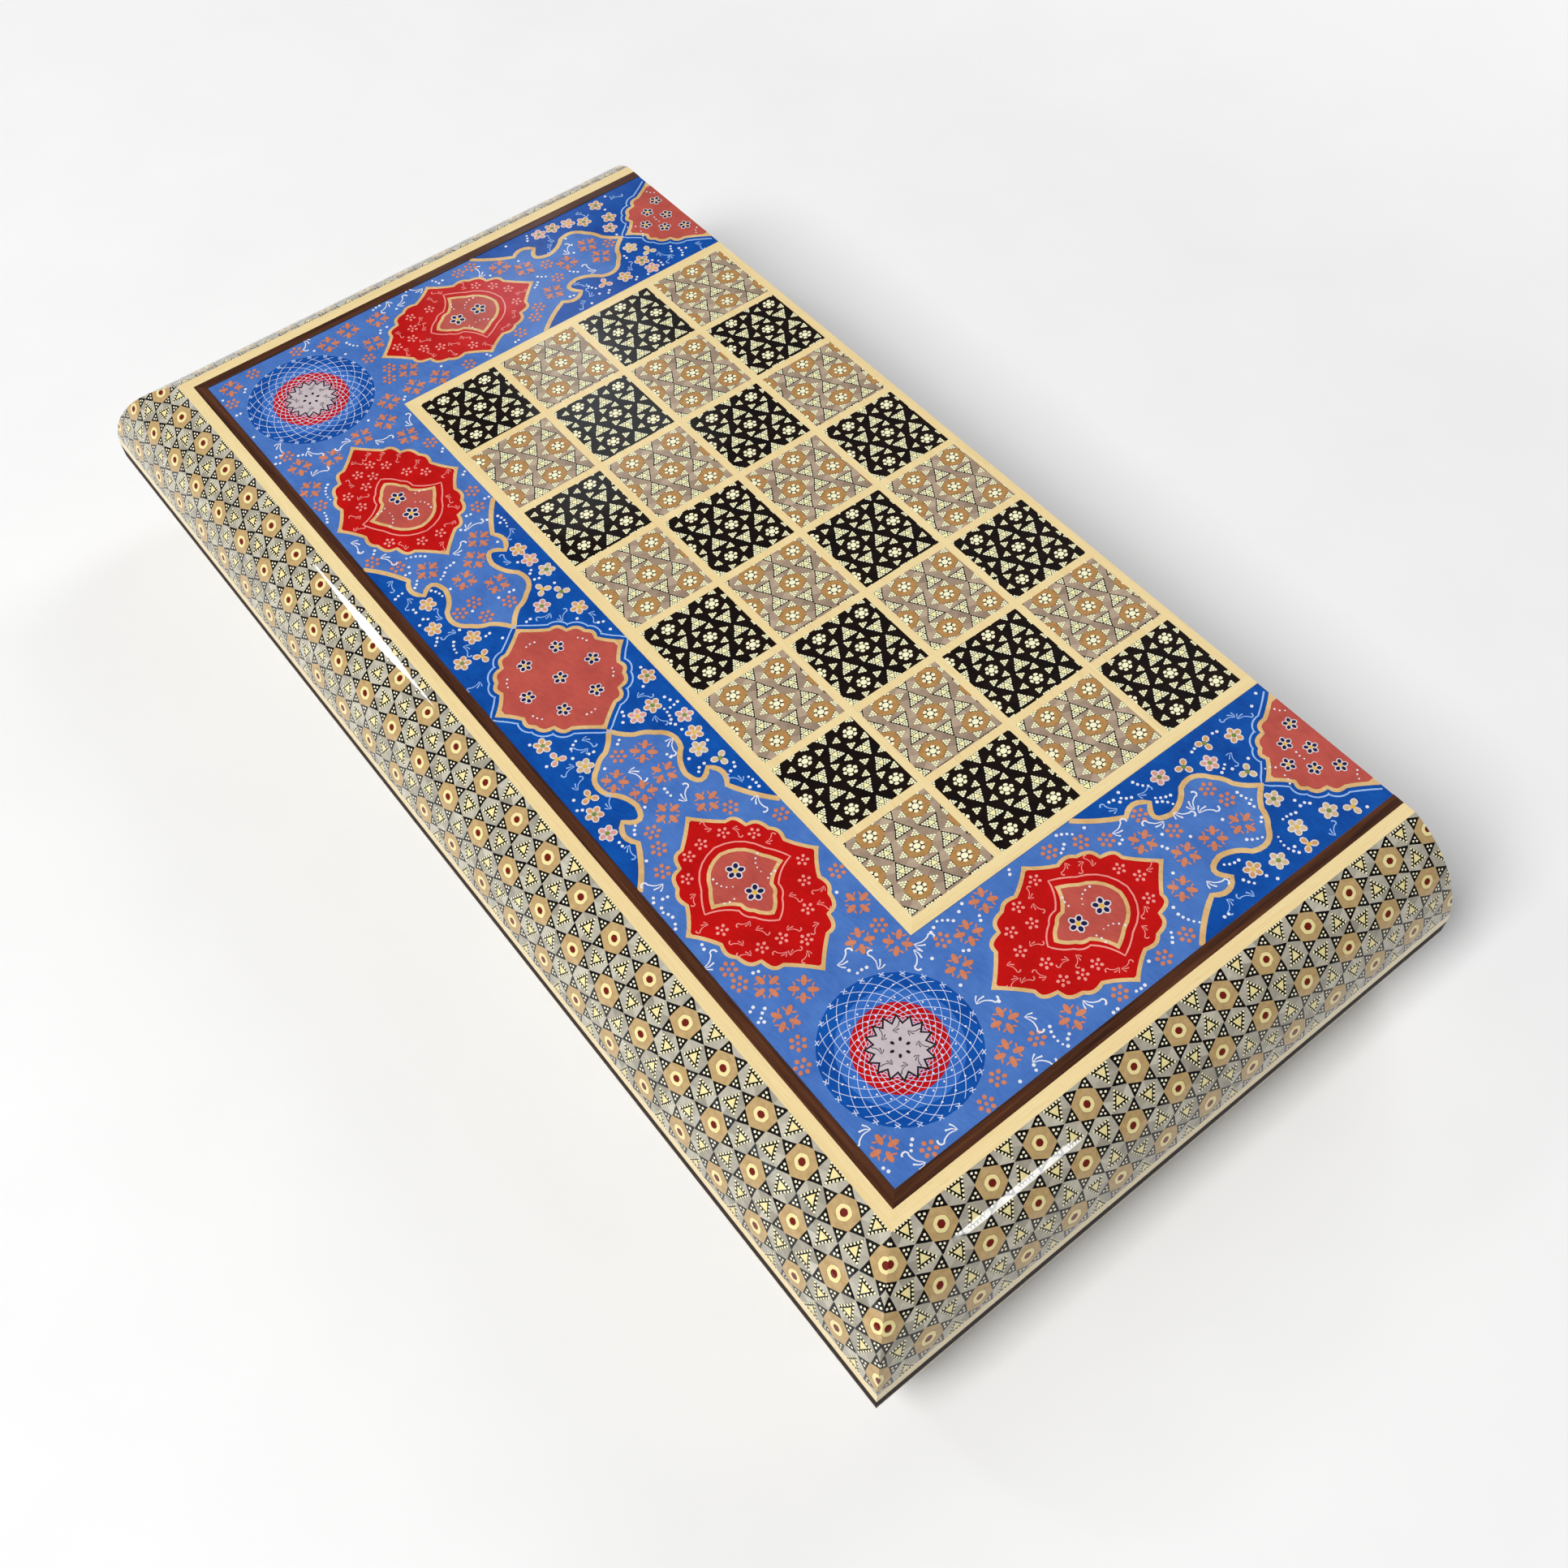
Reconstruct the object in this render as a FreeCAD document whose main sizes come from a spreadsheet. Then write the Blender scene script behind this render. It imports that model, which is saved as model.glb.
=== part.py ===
import FreeCAD, Part
import math
import os

import Sketcher
from FreeCAD import Placement, Rotation, Vector

# Folding chess and backgammon case: two equal trays joined by three butt hinges.
# The lower tray stands on its chess face. Everything on it is drawn in the tray's
# own frame: X along the case, +Y to the hinge side, +Z from chess face to rim.
# The upper tray is the same tray turned over on top of it. Millimetres throughout.

SIZES = (
    ("CaseLength", 500.0, "outside length of the case"),
    ("TrayDepth", 249.6, "front of a tray to its hinge side"),
    ("TrayHeight", 38.5, "chess face to rim of one tray"),
    ("PartingGap", 0.5, "between the two closed rims"),
    ("WallThickness", 30.6, "front and end walls at the rim"),
    ("HingeWallThickness", 14.0, "wall on the hinge side"),
    ("BevelRun", 26.6, "how far the rounded edge runs in from the outside"),
    ("BevelCentreDrop", 1.0, "rim to the level of the rounded edge's centre"),
    ("RimCapThickness", 3.2, "dark capping on the rim"),
    ("VeneerThickness", 1.2, "inlay glued on the rounded edge"),
    ("RimBandWidth", 4.2, "light band below the capping"),
    ("FaceThickness", 1.6, "inlay and painting on the chess face"),
    ("PanelThickness", 6.0, "plywood panel that closes the tray"),
    ("LightBandWidth", 4.7, "light band round the painting"),
    ("DarkBandWidth", 4.2, "rosewood band round the painting"),
    ("SquareSide", 34.8, "one chess square"),
    ("StringWidth", 3.2, "light string between squares"),
    ("FrameWidth", 4.6, "light frame round the half board"),
    ("HingeStripWidth", 3.6, "light strip on the hinge side of the half board"),
    ("FieldThickness", 1.0, "veneer of the backgammon field"),
    ("InlayThickness", 0.6, "points and rosette let into the field"),
    ("LiningThickness", 1.0, "veneer on the inside of the walls"),
    ("PointLength", 172.0, "length of one point"),
    ("PointMargin", 1.2, "field left beside the foot of a point"),
    ("RosetteRadius", 33.0, "round inlay in the middle of the field"),
    ("HingeSpacing", 170.0, "hinge to hinge"),
    ("HingeLength", 40.0, "length of one hinge"),
    ("LeafReach", 11.0, "leaf on the rim, in from the hinge side"),
    ("LeafThickness", 1.2, "brass leaf"),
    ("BarrelRadius", 2.8, "outside of the hinge barrel"),
    ("PinRadius", 1.1, "hinge pin"),
    ("PinClearance", 0.05, "running clearance round the pin"),
    ("KnuckleGap", 0.2, "end play between knuckles"),
    ("BarrelClearance", 0.4, "wood round the barrel"),
    ("HingeFaceGap", 0.3, "hinge side to pin axis, so the trays close up when open"),
    ("ScrewHeadRadius", 2.3, "countersunk head"),
    ("ScrewRadius", 1.1, "shank"),
    ("ScrewLength", 10.0, "head to tip"),
    ("ScrewSlotWidth", 0.7, "slot in the head"),
    ("ScrewSlotDepth", 0.6, "slot in the head"),
    ("ScrewPitch", 13.0, "screw to screw in one leaf"),
    ("CheckerRadius", 16.2, "playing piece"),
    ("CheckerThickness", 9.5, "playing piece"),
    ("CheckerChamfer", 0.9, "broken edge of a playing piece"),
    ("CheckerGap", 0.1, "between pieces in a stack"),
    ("StackGap", 0.8, "stack to the end wall"),
    ("DieSide", 12.0, "one die"),
    ("DieChamfer", 1.2, "broken edge of a die"),
    ("DieGap", 5.0, "between the two dice"),
)

FILES = 8
RANKS_PER_TRAY = 4
POINTS_PER_END = 6
HINGES = 3
KNUCKLES = 5
SCREWS_PER_LEAF = 3
STACKS = 5
CHECKERS_PER_STACK = 3

# Room by which a cutting outline runs past the wood it cuts
OVERRUN = 2.0


class Size:
    """A length that carries the sheet formula it comes from."""

    def __init__(self, number, formula=None):
        self.number = float(number)
        self.formula = formula if formula else repr(self.number)

    def __add__(self, other):
        other = as_size(other)
        return Size(self.number + other.number, "(%s + %s)" % (self.formula, other.formula))

    def __sub__(self, other):
        other = as_size(other)
        return Size(self.number - other.number, "(%s - %s)" % (self.formula, other.formula))

    def __mul__(self, other):
        other = as_size(other)
        return Size(self.number * other.number, "(%s * %s)" % (self.formula, other.formula))

    def __truediv__(self, other):
        other = as_size(other)
        return Size(self.number / other.number, "(%s / %s)" % (self.formula, other.formula))

    def __neg__(self):
        return Size(-self.number, "(0 - %s)" % self.formula)

    def __radd__(self, other):
        return as_size(other) + self

    def __rsub__(self, other):
        return as_size(other) - self

    def __rmul__(self, other):
        return as_size(other) * self


def as_size(value):
    return value if isinstance(value, Size) else Size(value)


def root(value):
    return Size(math.sqrt(value.number), "sqrt(%s)" % value.formula)


def fill_sheet(document):
    sheet = document.addObject("Spreadsheet::Sheet", "Sizes")
    named = {}
    for row, (alias, number, meaning) in enumerate(SIZES, start=1):
        sheet.set("A%d" % row, meaning)
        sheet.set("B%d" % row, str(number))
        sheet.setAlias("B%d" % row, alias)
        named[alias] = Size(number, "Sizes.%s" % alias)
    document.recompute()
    return named


doc = FreeCAD.newDocument("GamesCase")
size = fill_sheet(doc)

# Places worked out from the driving dimensions
half_length = size["CaseLength"] / 2
hinge_face = (size["TrayDepth"] - size["HingeFaceGap"] - size["BarrelRadius"]) / 2
front_face = hinge_face - size["TrayDepth"]
rim = size["TrayHeight"]
cap_bed = rim - size["RimCapThickness"]
panel_inside = size["FaceThickness"] + size["PanelThickness"]
field_top = panel_inside + size["FieldThickness"]
case_height = 2 * rim + size["PartingGap"]
pin_y = hinge_face + size["HingeFaceGap"]
pin_z = rim + size["PartingGap"] / 2
wall = size["WallThickness"]
wall_front = front_face + wall
wall_end = half_length - wall
wall_hinge = hinge_face - size["HingeWallThickness"]

# Rounded edge: one arc from the inner end of its run, on the chess face, to the outside
# of the capping, where it is all but upright
bevel_run = size["BevelRun"]
centre_z = rim - size["BevelCentreDrop"]
centre_inset = (bevel_run * bevel_run + (2 * centre_z - cap_bed) * cap_bed) / (2 * bevel_run)
centre_rise = centre_z - cap_bed
bevel_radius = root(centre_inset * centre_inset + centre_rise * centre_rise)
core_radius = bevel_radius - size["VeneerThickness"]
band_top = cap_bed - size["RimBandWidth"]


def arc_inset(radius, height):
    """How far in from the outside the arc of this radius lies at this height."""
    rise = centre_z - height
    return centre_inset - root(radius * radius - rise * rise)


centre_from_run = centre_inset - bevel_run
core_start = centre_z - root(core_radius * core_radius - centre_from_run * centre_from_run)


def bind(thing, **properties):
    """Give properties their number and tie each to its formula."""
    for name, value in properties.items():
        value = as_size(value)
        setattr(thing, name, value.number)
        thing.setExpression(name, value.formula)


def place(thing, x=0.0, y=0.0, z=0.0, rotation=None):
    x, y, z = as_size(x), as_size(y), as_size(z)
    thing.Placement = Placement(Vector(x.number, y.number, z.number), rotation or Rotation())
    for axis, value in (("x", x), ("y", y), ("z", z)):
        thing.setExpression("Placement.Base." + axis, value.formula)


def new_body(name):
    body = doc.addObject("PartDesign::Body", name)
    body.Label = name
    return body


def origin_part(body, role):
    return [item for item in body.Origin.OriginFeatures if item.Role == role][0]


def new_sketch(body, plane, offset=0.0, sideways=0.0):
    """A sketch on one of the body's origin planes, moved along its normal and its own X."""
    offset, sideways = as_size(offset), as_size(sideways)
    sketch = body.newObject("Sketcher::SketchObject", body.Name + "_sketch")
    sketch.AttachmentSupport = [(origin_part(body, plane), "")]
    sketch.MapMode = "FlatFace"
    sketch.AttachmentOffset = Placement(Vector(sideways.number, 0, offset.number), Rotation())
    sketch.setExpression("AttachmentOffset.Base.x", sideways.formula)
    sketch.setExpression("AttachmentOffset.Base.z", offset.formula)
    return sketch


def measure(sketch, kind, geometry, end, value):
    """Fix one coordinate of a sketch point, on an axis where it is zero."""
    value = as_size(value)
    if value.number == 0 and value.formula == repr(0.0):
        axis = -2 if kind == "DistanceX" else -1
        sketch.addConstraint(Sketcher.Constraint("PointOnObject", geometry, end, axis))
        return
    index = sketch.addConstraint(
        Sketcher.Constraint(kind, -1, 1, geometry, end, value.number))
    sketch.setExpression("Constraints[%d]" % index, value.formula)


def draw_loop(sketch, points, arcs=None):
    """Close a loop through the points; arcs maps a segment to (centre, radius, is_long)."""
    arcs = arcs or {}
    corners = [(as_size(x), as_size(y)) for x, y in points]
    segments = []
    for index, start in enumerate(corners):
        end = corners[(index + 1) % len(corners)]
        tail = Vector(start[0].number, start[1].number, 0)
        head = Vector(end[0].number, end[1].number, 0)
        if index not in arcs:
            segments.append((sketch.addGeometry(Part.LineSegment(tail, head), False), 1, 2))
            continue
        (centre_x, centre_y), radius, is_long = arcs[index]
        centre = Vector(as_size(centre_x).number, as_size(centre_y).number, 0)
        turns_left = (tail - centre).cross(head - centre).z > 0
        if turns_left == is_long:
            tail, head = head, tail
        angles = [math.atan2(end_point.y - centre.y, end_point.x - centre.x)
                  for end_point in (tail, head)]
        circle = Part.Circle(centre, Vector(0, 0, 1), radius.number)
        arc = sketch.addGeometry(Part.ArcOfCircle(circle, angles[0], angles[1]), False)
        ends = (2, 1) if turns_left == is_long else (1, 2)
        segments.append((arc,) + ends)
        turn = sketch.addConstraint(Sketcher.Constraint("Radius", arc, radius.number))
        sketch.setExpression("Constraints[%d]" % turn, radius.formula)
    for index, (geometry, first, last) in enumerate(segments):
        following = segments[(index + 1) % len(segments)]
        sketch.addConstraint(
            Sketcher.Constraint("Coincident", geometry, last, following[0], following[1]))
        measure(sketch, "DistanceX", geometry, first, corners[index][0])
        measure(sketch, "DistanceY", geometry, first, corners[index][1])


def draw_circle(sketch, centre_x, centre_y, radius):
    centre_x, centre_y, radius = as_size(centre_x), as_size(centre_y), as_size(radius)
    centre = Vector(centre_x.number, centre_y.number, 0)
    ring = sketch.addGeometry(Part.Circle(centre, Vector(0, 0, 1), radius.number), False)
    index = sketch.addConstraint(Sketcher.Constraint("Radius", ring, radius.number))
    sketch.setExpression("Constraints[%d]" % index, radius.formula)
    measure(sketch, "DistanceX", ring, 3, centre_x)
    measure(sketch, "DistanceY", ring, 3, centre_y)


def pad(body, sketch, length):
    feature = body.newObject("PartDesign::Pad", body.Name + "_pad")
    feature.Profile = sketch
    bind(feature, Length=length)
    return feature


def pocket_up(body, sketch, length):
    """Cut from the sketch along its normal and make sure that wood came off."""
    doc.recompute()
    before = body.Shape.Volume
    feature = body.newObject("PartDesign::Pocket", body.Name + "_pocket")
    feature.Profile = sketch
    feature.Reversed = True
    bind(feature, Length=length)
    doc.recompute()
    if body.Shape.Volume > before - 1e-6:
        raise RuntimeError(body.Name + " lost nothing to its pocket")
    return feature


def turn(body, sketch):
    """Turn the sketch once round its own upright axis."""
    feature = body.newObject("PartDesign::Revolution", body.Name + "_turned")
    feature.Profile = sketch
    feature.ReferenceAxis = (sketch, ["V_Axis"])
    feature.Angle = 360
    return feature


def repeat(body, features, steps):
    """Repeat features along the body's axes; each step is (axis, spacing, count)."""
    pattern = body.newObject("PartDesign::MultiTransform", body.Name + "_copies")
    pattern.Originals = features
    rows = []
    for axis, spacing, count in steps:
        row = body.newObject("PartDesign::LinearPattern", body.Name + "_row")
        row.Direction = (origin_part(body, axis), [""])
        row.Mode = "Spacing"
        bind(row, Offset=spacing)
        row.Occurrences = count
        rows.append(row)
    pattern.Transformations = rows
    body.Tip = pattern
    doc.recompute()
    return pattern


def board(name, points, bottom, thickness):
    """A flat piece: an outline in plan, raised from its underside."""
    body = new_body(name)
    sketch = new_sketch(body, "XY_Plane", bottom)
    draw_loop(sketch, points)
    pad(body, sketch, thickness)
    return body


def block(name, x_span, y_span, z_span):
    """A square-cut piece between two places on each axis."""
    box = doc.addObject("Part::Box", name)
    box.Label = name
    low = [as_size(span[0]) for span in (x_span, y_span, z_span)]
    high = [as_size(span[1]) for span in (x_span, y_span, z_span)]
    bind(box, Length=high[0] - low[0], Width=high[1] - low[1], Height=high[2] - low[2])
    place(box, *low)
    return box


def group(name, pieces):
    together = doc.addObject("Part::Compound", name)
    together.Label = name
    together.Links = list(pieces)
    return together


def cut(name, base, tool):
    result = doc.addObject("Part::Cut", name)
    result.Label = name
    result.Base = base
    result.Tool = tool
    return result


TURNED_OVER = Rotation(Vector(0, 1, 0), 180)
OTHER_END = {"left": "right", "right": "left"}
nodes = []


def keep(piece, name):
    piece.Label = name
    nodes.append(piece)


def keep_on_upper_tray(piece, name):
    """Place a piece that was drawn in the tray's frame on the upper tray, turned over."""
    end = name.split("_")[0]
    name = "upper_" + name.replace(end, OTHER_END.get(end, end))
    copy = group(name, [piece])
    place(copy, z=case_height, rotation=TURNED_OVER)
    keep(copy, name)


def keep_on_both_trays(piece, name):
    keep(piece, "lower_" + name)
    keep_on_upper_tray(piece, name)


# Plan outlines of pieces that follow the three rounded sides, mitred at the front corners

def mitred_side(side, outer, inner):
    """Plan of one side's piece, between two distances in from the outside."""
    left, right = -half_length, half_length
    if side == "front":
        return [(left + outer, front_face + outer), (right - outer, front_face + outer),
                (right - inner, front_face + inner), (left + inner, front_face + inner)]
    if side == "left":
        return [(left + outer, front_face + outer), (left + inner, front_face + inner),
                (left + inner, hinge_face), (left + outer, hinge_face)]
    return [(right - outer, front_face + outer), (right - outer, hinge_face),
            (right - inner, hinge_face), (right - inner, front_face + inner)]


def mitre_waste(side):
    """Triangles that come off the ends of a moulding to make its mitres."""
    reach = wall + OVERRUN
    corner_y, inner_y = front_face - OVERRUN, front_face + reach
    triangles = []
    for is_left in (True, False):
        if side != "front" and is_left != (side == "left"):
            continue
        corner_x = -half_length - OVERRUN if is_left else half_length + OVERRUN
        inner_x = -half_length + reach if is_left else half_length - reach
        spare = (corner_x, inner_y) if side == "front" else (inner_x, corner_y)
        triangles.append([(corner_x, corner_y), (inner_x, inner_y), spare])
    return triangles


def moulding(name, side, profile, arcs):
    """Run a profile of (inset, height) points along one side and mitre it."""
    body = new_body(name)
    if side == "front":
        sketch = new_sketch(body, "YZ_Plane", -half_length)
        length = size["CaseLength"]
    else:
        sketch = new_sketch(body, "XZ_Plane", -hinge_face)
        length = size["TrayDepth"]

    def across(inset):
        if side == "front":
            return front_face + inset
        return inset - half_length if side == "left" else half_length - inset

    draw_loop(sketch, [(across(inset), height) for inset, height in profile],
              {index: ((across(centre_inset), centre_z), radius, False)
               for index, radius in arcs.items()})
    pad(body, sketch, length)
    waste = new_sketch(body, "XY_Plane", -OVERRUN)
    for triangle in mitre_waste(side):
        draw_loop(waste, triangle)
    pocket_up(body, waste, rim + 2 * OVERRUN)
    return body


SIDES = ("front", "left", "right")

# Rails: solid wood, rounded outside, rebated for the panel, flat inside
RAIL = [
    (arc_inset(core_radius, cap_bed), cap_bed),
    (bevel_run, core_start),
    (bevel_run, panel_inside),
    (wall, panel_inside),
    (wall, cap_bed),
]
for side in SIDES:
    keep_on_both_trays(moulding(side + "_rail", side, RAIL, {0: core_radius}), side + "_rail")

# Inlaid skin on the rounded edge, from the chess face down to the light rim band
KHATAM = [
    (bevel_run, 0.0),
    (arc_inset(bevel_radius, band_top), band_top),
    (arc_inset(core_radius, band_top), band_top),
    (bevel_run, core_start),
]
for side in SIDES:
    keep_on_both_trays(
        moulding(side + "_khatam", side, KHATAM, {0: bevel_radius, 2: core_radius}),
        side + "_khatam")

# Light band between the inlaid skin and the dark capping
RIM_BAND = [
    (arc_inset(bevel_radius, band_top), band_top),
    (Size(0), cap_bed),
    (arc_inset(core_radius, cap_bed), cap_bed),
    (arc_inset(core_radius, band_top), band_top),
]
keep_on_both_trays(
    group("rim_banding", [moulding(side + "_rim_band", side, RIM_BAND,
                                   {0: bevel_radius, 2: core_radius}) for side in SIDES]),
    "rim_banding")

# Plywood panel that closes the tray, and the straight wall on the hinge side
face_reach = half_length - bevel_run
keep_on_both_trays(
    block("base_panel", (-face_reach, face_reach), (front_face + bevel_run, hinge_face),
          (size["FaceThickness"], panel_inside)),
    "base_panel")
hinge_wall_blank = block("hinge_wall_blank", (-wall_end, wall_end), (wall_hinge, hinge_face),
                         (panel_inside, cap_bed))

# Chess face, from its edge inwards: light band, rosewood band, painting, light frame
band_inner = bevel_run + size["LightBandWidth"]
painting_edge = band_inner + size["DarkBandWidth"]


def face_bands(name, outer, inner):
    return group(name, [board("%s_%s" % (side, name), mitred_side(side, outer, inner),
                              0.0, size["FaceThickness"]) for side in SIDES])


keep_on_both_trays(face_bands("light_banding", bevel_run, band_inner), "light_banding")
keep_on_both_trays(face_bands("dark_banding", band_inner, painting_edge), "dark_banding")

square_step = size["SquareSide"] + size["StringWidth"]
squares_half = (FILES * square_step - size["StringWidth"]) / 2
squares_back = hinge_face - size["HingeStripWidth"]
squares_front = squares_back - RANKS_PER_TRAY * square_step + size["StringWidth"]
frame_half = squares_half + size["FrameWidth"]
frame_front = squares_front - size["FrameWidth"]
face_top = size["FaceThickness"]

PAINTING = [
    (painting_edge - half_length, front_face + painting_edge),
    (half_length - painting_edge, front_face + painting_edge),
    (half_length - painting_edge, hinge_face),
    (frame_half, hinge_face),
    (frame_half, frame_front),
    (-frame_half, frame_front),
    (-frame_half, hinge_face),
    (painting_edge - half_length, hinge_face),
]
keep_on_both_trays(board("painted_border", PAINTING, 0.0, face_top), "painted_border")

FRAME_STRIPS = {
    "front": [(-frame_half, frame_front), (frame_half, frame_front),
              (squares_half, squares_front), (-squares_half, squares_front)],
    "left": [(-frame_half, frame_front), (-squares_half, squares_front),
             (-squares_half, hinge_face), (-frame_half, hinge_face)],
    "right": [(frame_half, frame_front), (frame_half, hinge_face),
              (squares_half, hinge_face), (squares_half, squares_front)],
    "hinge": [(-squares_half, squares_back), (squares_half, squares_back),
              (squares_half, hinge_face), (-squares_half, hinge_face)],
}
keep_on_both_trays(
    group("chess_frame", [board("frame_" + side, strip, 0.0, face_top)
                          for side, strip in FRAME_STRIPS.items()]),
    "chess_frame")


# Half a chessboard: two interleaved sets of squares, with strings let in between them

def rectangle(left, front, width, depth):
    return [(left, front), (left + width, front), (left + width, front + depth),
            (left, front + depth)]


def chess_squares(name, first_column):
    body = new_body(name)
    sketch = new_sketch(body, "XY_Plane")
    side = size["SquareSide"]
    for row in range(2):
        column = (first_column + row) % 2
        draw_loop(sketch, rectangle(column * square_step - squares_half,
                                    row * square_step + squares_front, side, side))
    pair = pad(body, sketch, face_top)
    repeat(body, [pair], [("X_Axis", 2 * square_step, FILES // 2),
                          ("Y_Axis", 2 * square_step, RANKS_PER_TRAY // 2)])
    return body


keep_on_both_trays(chess_squares("light_squares", 0), "light_squares")
keep_on_both_trays(chess_squares("dark_squares", 1), "dark_squares")


def strings(name, outline, steps):
    body = new_body(name)
    sketch = new_sketch(body, "XY_Plane")
    draw_loop(sketch, outline)
    repeat(body, [pad(body, sketch, face_top)], steps)
    return body


string_width = size["StringWidth"]
long_strings = strings(
    "long_strings",
    rectangle(-squares_half, squares_front + size["SquareSide"], 2 * squares_half, string_width),
    [("Y_Axis", square_step, RANKS_PER_TRAY - 1)])
short_strings = strings(
    "short_strings",
    rectangle(size["SquareSide"] - squares_half, squares_front, string_width, size["SquareSide"]),
    [("X_Axis", square_step, FILES - 1), ("Y_Axis", square_step, RANKS_PER_TRAY)])
keep_on_both_trays(group("stringing", [long_strings, short_strings]), "stringing")

# Backgammon side: a veneered field with twelve points and a rosette let in flush
inlay_bed = field_top - size["InlayThickness"]
lining = size["LiningThickness"]
field_end = wall_end - lining
field_front = wall_front + lining
field_back = wall_hinge - lining
lane = (field_back - field_front) / POINTS_PER_END


def points_of_one_colour(name, first_lane):
    """Every second point of one end and the ones between them on the other end."""
    ends = []
    for is_left in (True, False):
        start = field_front + (first_lane if is_left else 1 - first_lane) * lane
        foot = -field_end if is_left else field_end
        tip = foot + size["PointLength"] if is_left else foot - size["PointLength"]
        body = new_body("%s_%s" % (name, "left" if is_left else "right"))
        sketch = new_sketch(body, "XY_Plane", inlay_bed)
        draw_loop(sketch, [(foot, start + size["PointMargin"]), (tip, start + lane / 2),
                           (foot, start + lane - size["PointMargin"])])
        point = pad(body, sketch, size["InlayThickness"])
        repeat(body, [point], [("Y_Axis", 2 * lane, POINTS_PER_END // 2)])
        ends.append(body)
    return group(name, ends)


light_points = points_of_one_colour("light_points", 0)
dark_points = points_of_one_colour("dark_points", 1)
rosette = new_body("field_rosette")
rosette_sketch = new_sketch(rosette, "XY_Plane", inlay_bed)
draw_circle(rosette_sketch, 0.0, (field_front + field_back) / 2, size["RosetteRadius"])
pad(rosette, rosette_sketch, size["InlayThickness"])
field_blank = block("field_blank", (-wall_end, wall_end), (wall_front, wall_hinge),
                    (panel_inside, field_top))
keep_on_both_trays(
    cut("playing_field", field_blank, group("field_inlays", [light_points, dark_points, rosette])),
    "playing_field")
keep_on_both_trays(light_points, "light_points")
keep_on_both_trays(dark_points, "dark_points")
keep_on_both_trays(rosette, "field_rosette")

lining_height = (field_top, cap_bed)
keep_on_both_trays(group("wall_linings", [
    block("front_lining", (-field_end, field_end), (wall_front, field_front), lining_height),
    block("hinge_lining", (-field_end, field_end), (field_back, wall_hinge), lining_height),
    block("left_lining", (-wall_end, -field_end), (wall_front, wall_hinge), lining_height),
    block("right_lining", (field_end, wall_end), (wall_front, wall_hinge), lining_height),
]), "wall_linings")

# Hinges. One stands on the middle of the hinge side, the rest at even steps from it
first_hinge = -size["HingeSpacing"] * (HINGES - 1) / 2
leaf_start = first_hinge - size["HingeLength"] / 2
leaf_edge = hinge_face - size["LeafReach"]
leaf_under = rim - size["LeafThickness"]
knuckle = size["HingeLength"] / KNUCKLES
barrel = size["BarrelRadius"]
hinge_steps = [("X_Axis", size["HingeSpacing"], HINGES)]


def barrel_meets(height):
    """Where a level line on the rim runs into the barrel."""
    drop = pin_z - height
    return pin_y - root(barrel * barrel - drop * drop)


def hinge_leaf(name, bore, own_first):
    """A leaf with its share of the knuckles, as cut from one rolled strip."""
    body = new_body(name)
    sketch = new_sketch(body, "YZ_Plane", leaf_start)
    draw_loop(sketch, [(leaf_edge, leaf_under), (barrel_meets(leaf_under), leaf_under),
                       (barrel_meets(rim), rim), (leaf_edge, rim)],
              {1: ((pin_y, pin_z), barrel, True)})
    draw_circle(sketch, pin_y, pin_z, bore)
    rolled = pad(body, sketch, size["HingeLength"])
    slots = new_sketch(body, "XY_Plane", rim - barrel - OVERRUN)
    back = pin_y - barrel - size["BarrelClearance"]
    gap = size["KnuckleGap"] / 2
    for index in range(1 if own_first else 0, KNUCKLES, 2):
        start = leaf_start + index * knuckle - (gap if index else OVERRUN)
        end = leaf_start + (index + 1) * knuckle + (gap if index < KNUCKLES - 1 else OVERRUN)
        draw_loop(slots, rectangle(start, back, end - start, 2 * barrel + 2 * OVERRUN))
    slot = pocket_up(body, slots, 2 * barrel + 2 * OVERRUN)
    repeat(body, [rolled, slot], hinge_steps)
    return body


screw_line = hinge_face - size["LeafReach"] / 2
first_screw = first_hinge - size["ScrewPitch"] * (SCREWS_PER_LEAF - 1) / 2
screw_steps = [("X_Axis", size["ScrewPitch"], SCREWS_PER_LEAF)] + hinge_steps


def screw_blanks():
    """Countersunk screws in a row along each leaf, heads flush with it."""
    body = new_body("screw_blanks")
    sketch = new_sketch(body, "XZ_Plane", -screw_line, first_screw)
    head, shank = size["ScrewHeadRadius"], size["ScrewRadius"]
    tip = rim - size["ScrewLength"]
    draw_loop(sketch, [(0.0, rim), (head, rim), (shank, rim + shank - head),
                       (shank, tip + 2 * shank), (0.0, tip)])
    repeat(body, [turn(body, sketch)], screw_steps)
    return body


def screw_slots():
    body = new_body("screw_slots")
    reach, width = size["ScrewHeadRadius"], size["ScrewSlotWidth"]
    sketch = new_sketch(body, "XY_Plane", rim - size["ScrewSlotDepth"])
    draw_loop(sketch, rectangle(first_screw - width / 2, screw_line - reach, width, 2 * reach))
    repeat(body, [pad(body, sketch, size["ScrewSlotDepth"])], screw_steps)
    return body


screws = screw_blanks()
keep_on_both_trays(cut("leaf_screws", screws, screw_slots()), "leaf_screws")
lower_leaf = hinge_leaf("lower_leaf_strip", size["PinRadius"], True)
upper_leaf = hinge_leaf("upper_leaf_strip", size["PinRadius"] + size["PinClearance"], False)
keep(cut("lower_hinge_leaves", lower_leaf, screws), "lower_hinge_leaves")
keep_on_upper_tray(cut("hinge_leaves_drilled", upper_leaf, screws), "hinge_leaves")

pins = new_body("hinge_pins")
pin_sketch = new_sketch(pins, "YZ_Plane", leaf_start)
draw_circle(pin_sketch, pin_y, pin_z, size["PinRadius"])
repeat(pins, [pad(pins, pin_sketch, size["HingeLength"])], hinge_steps)
keep(pins, "hinge_pins")

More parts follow.
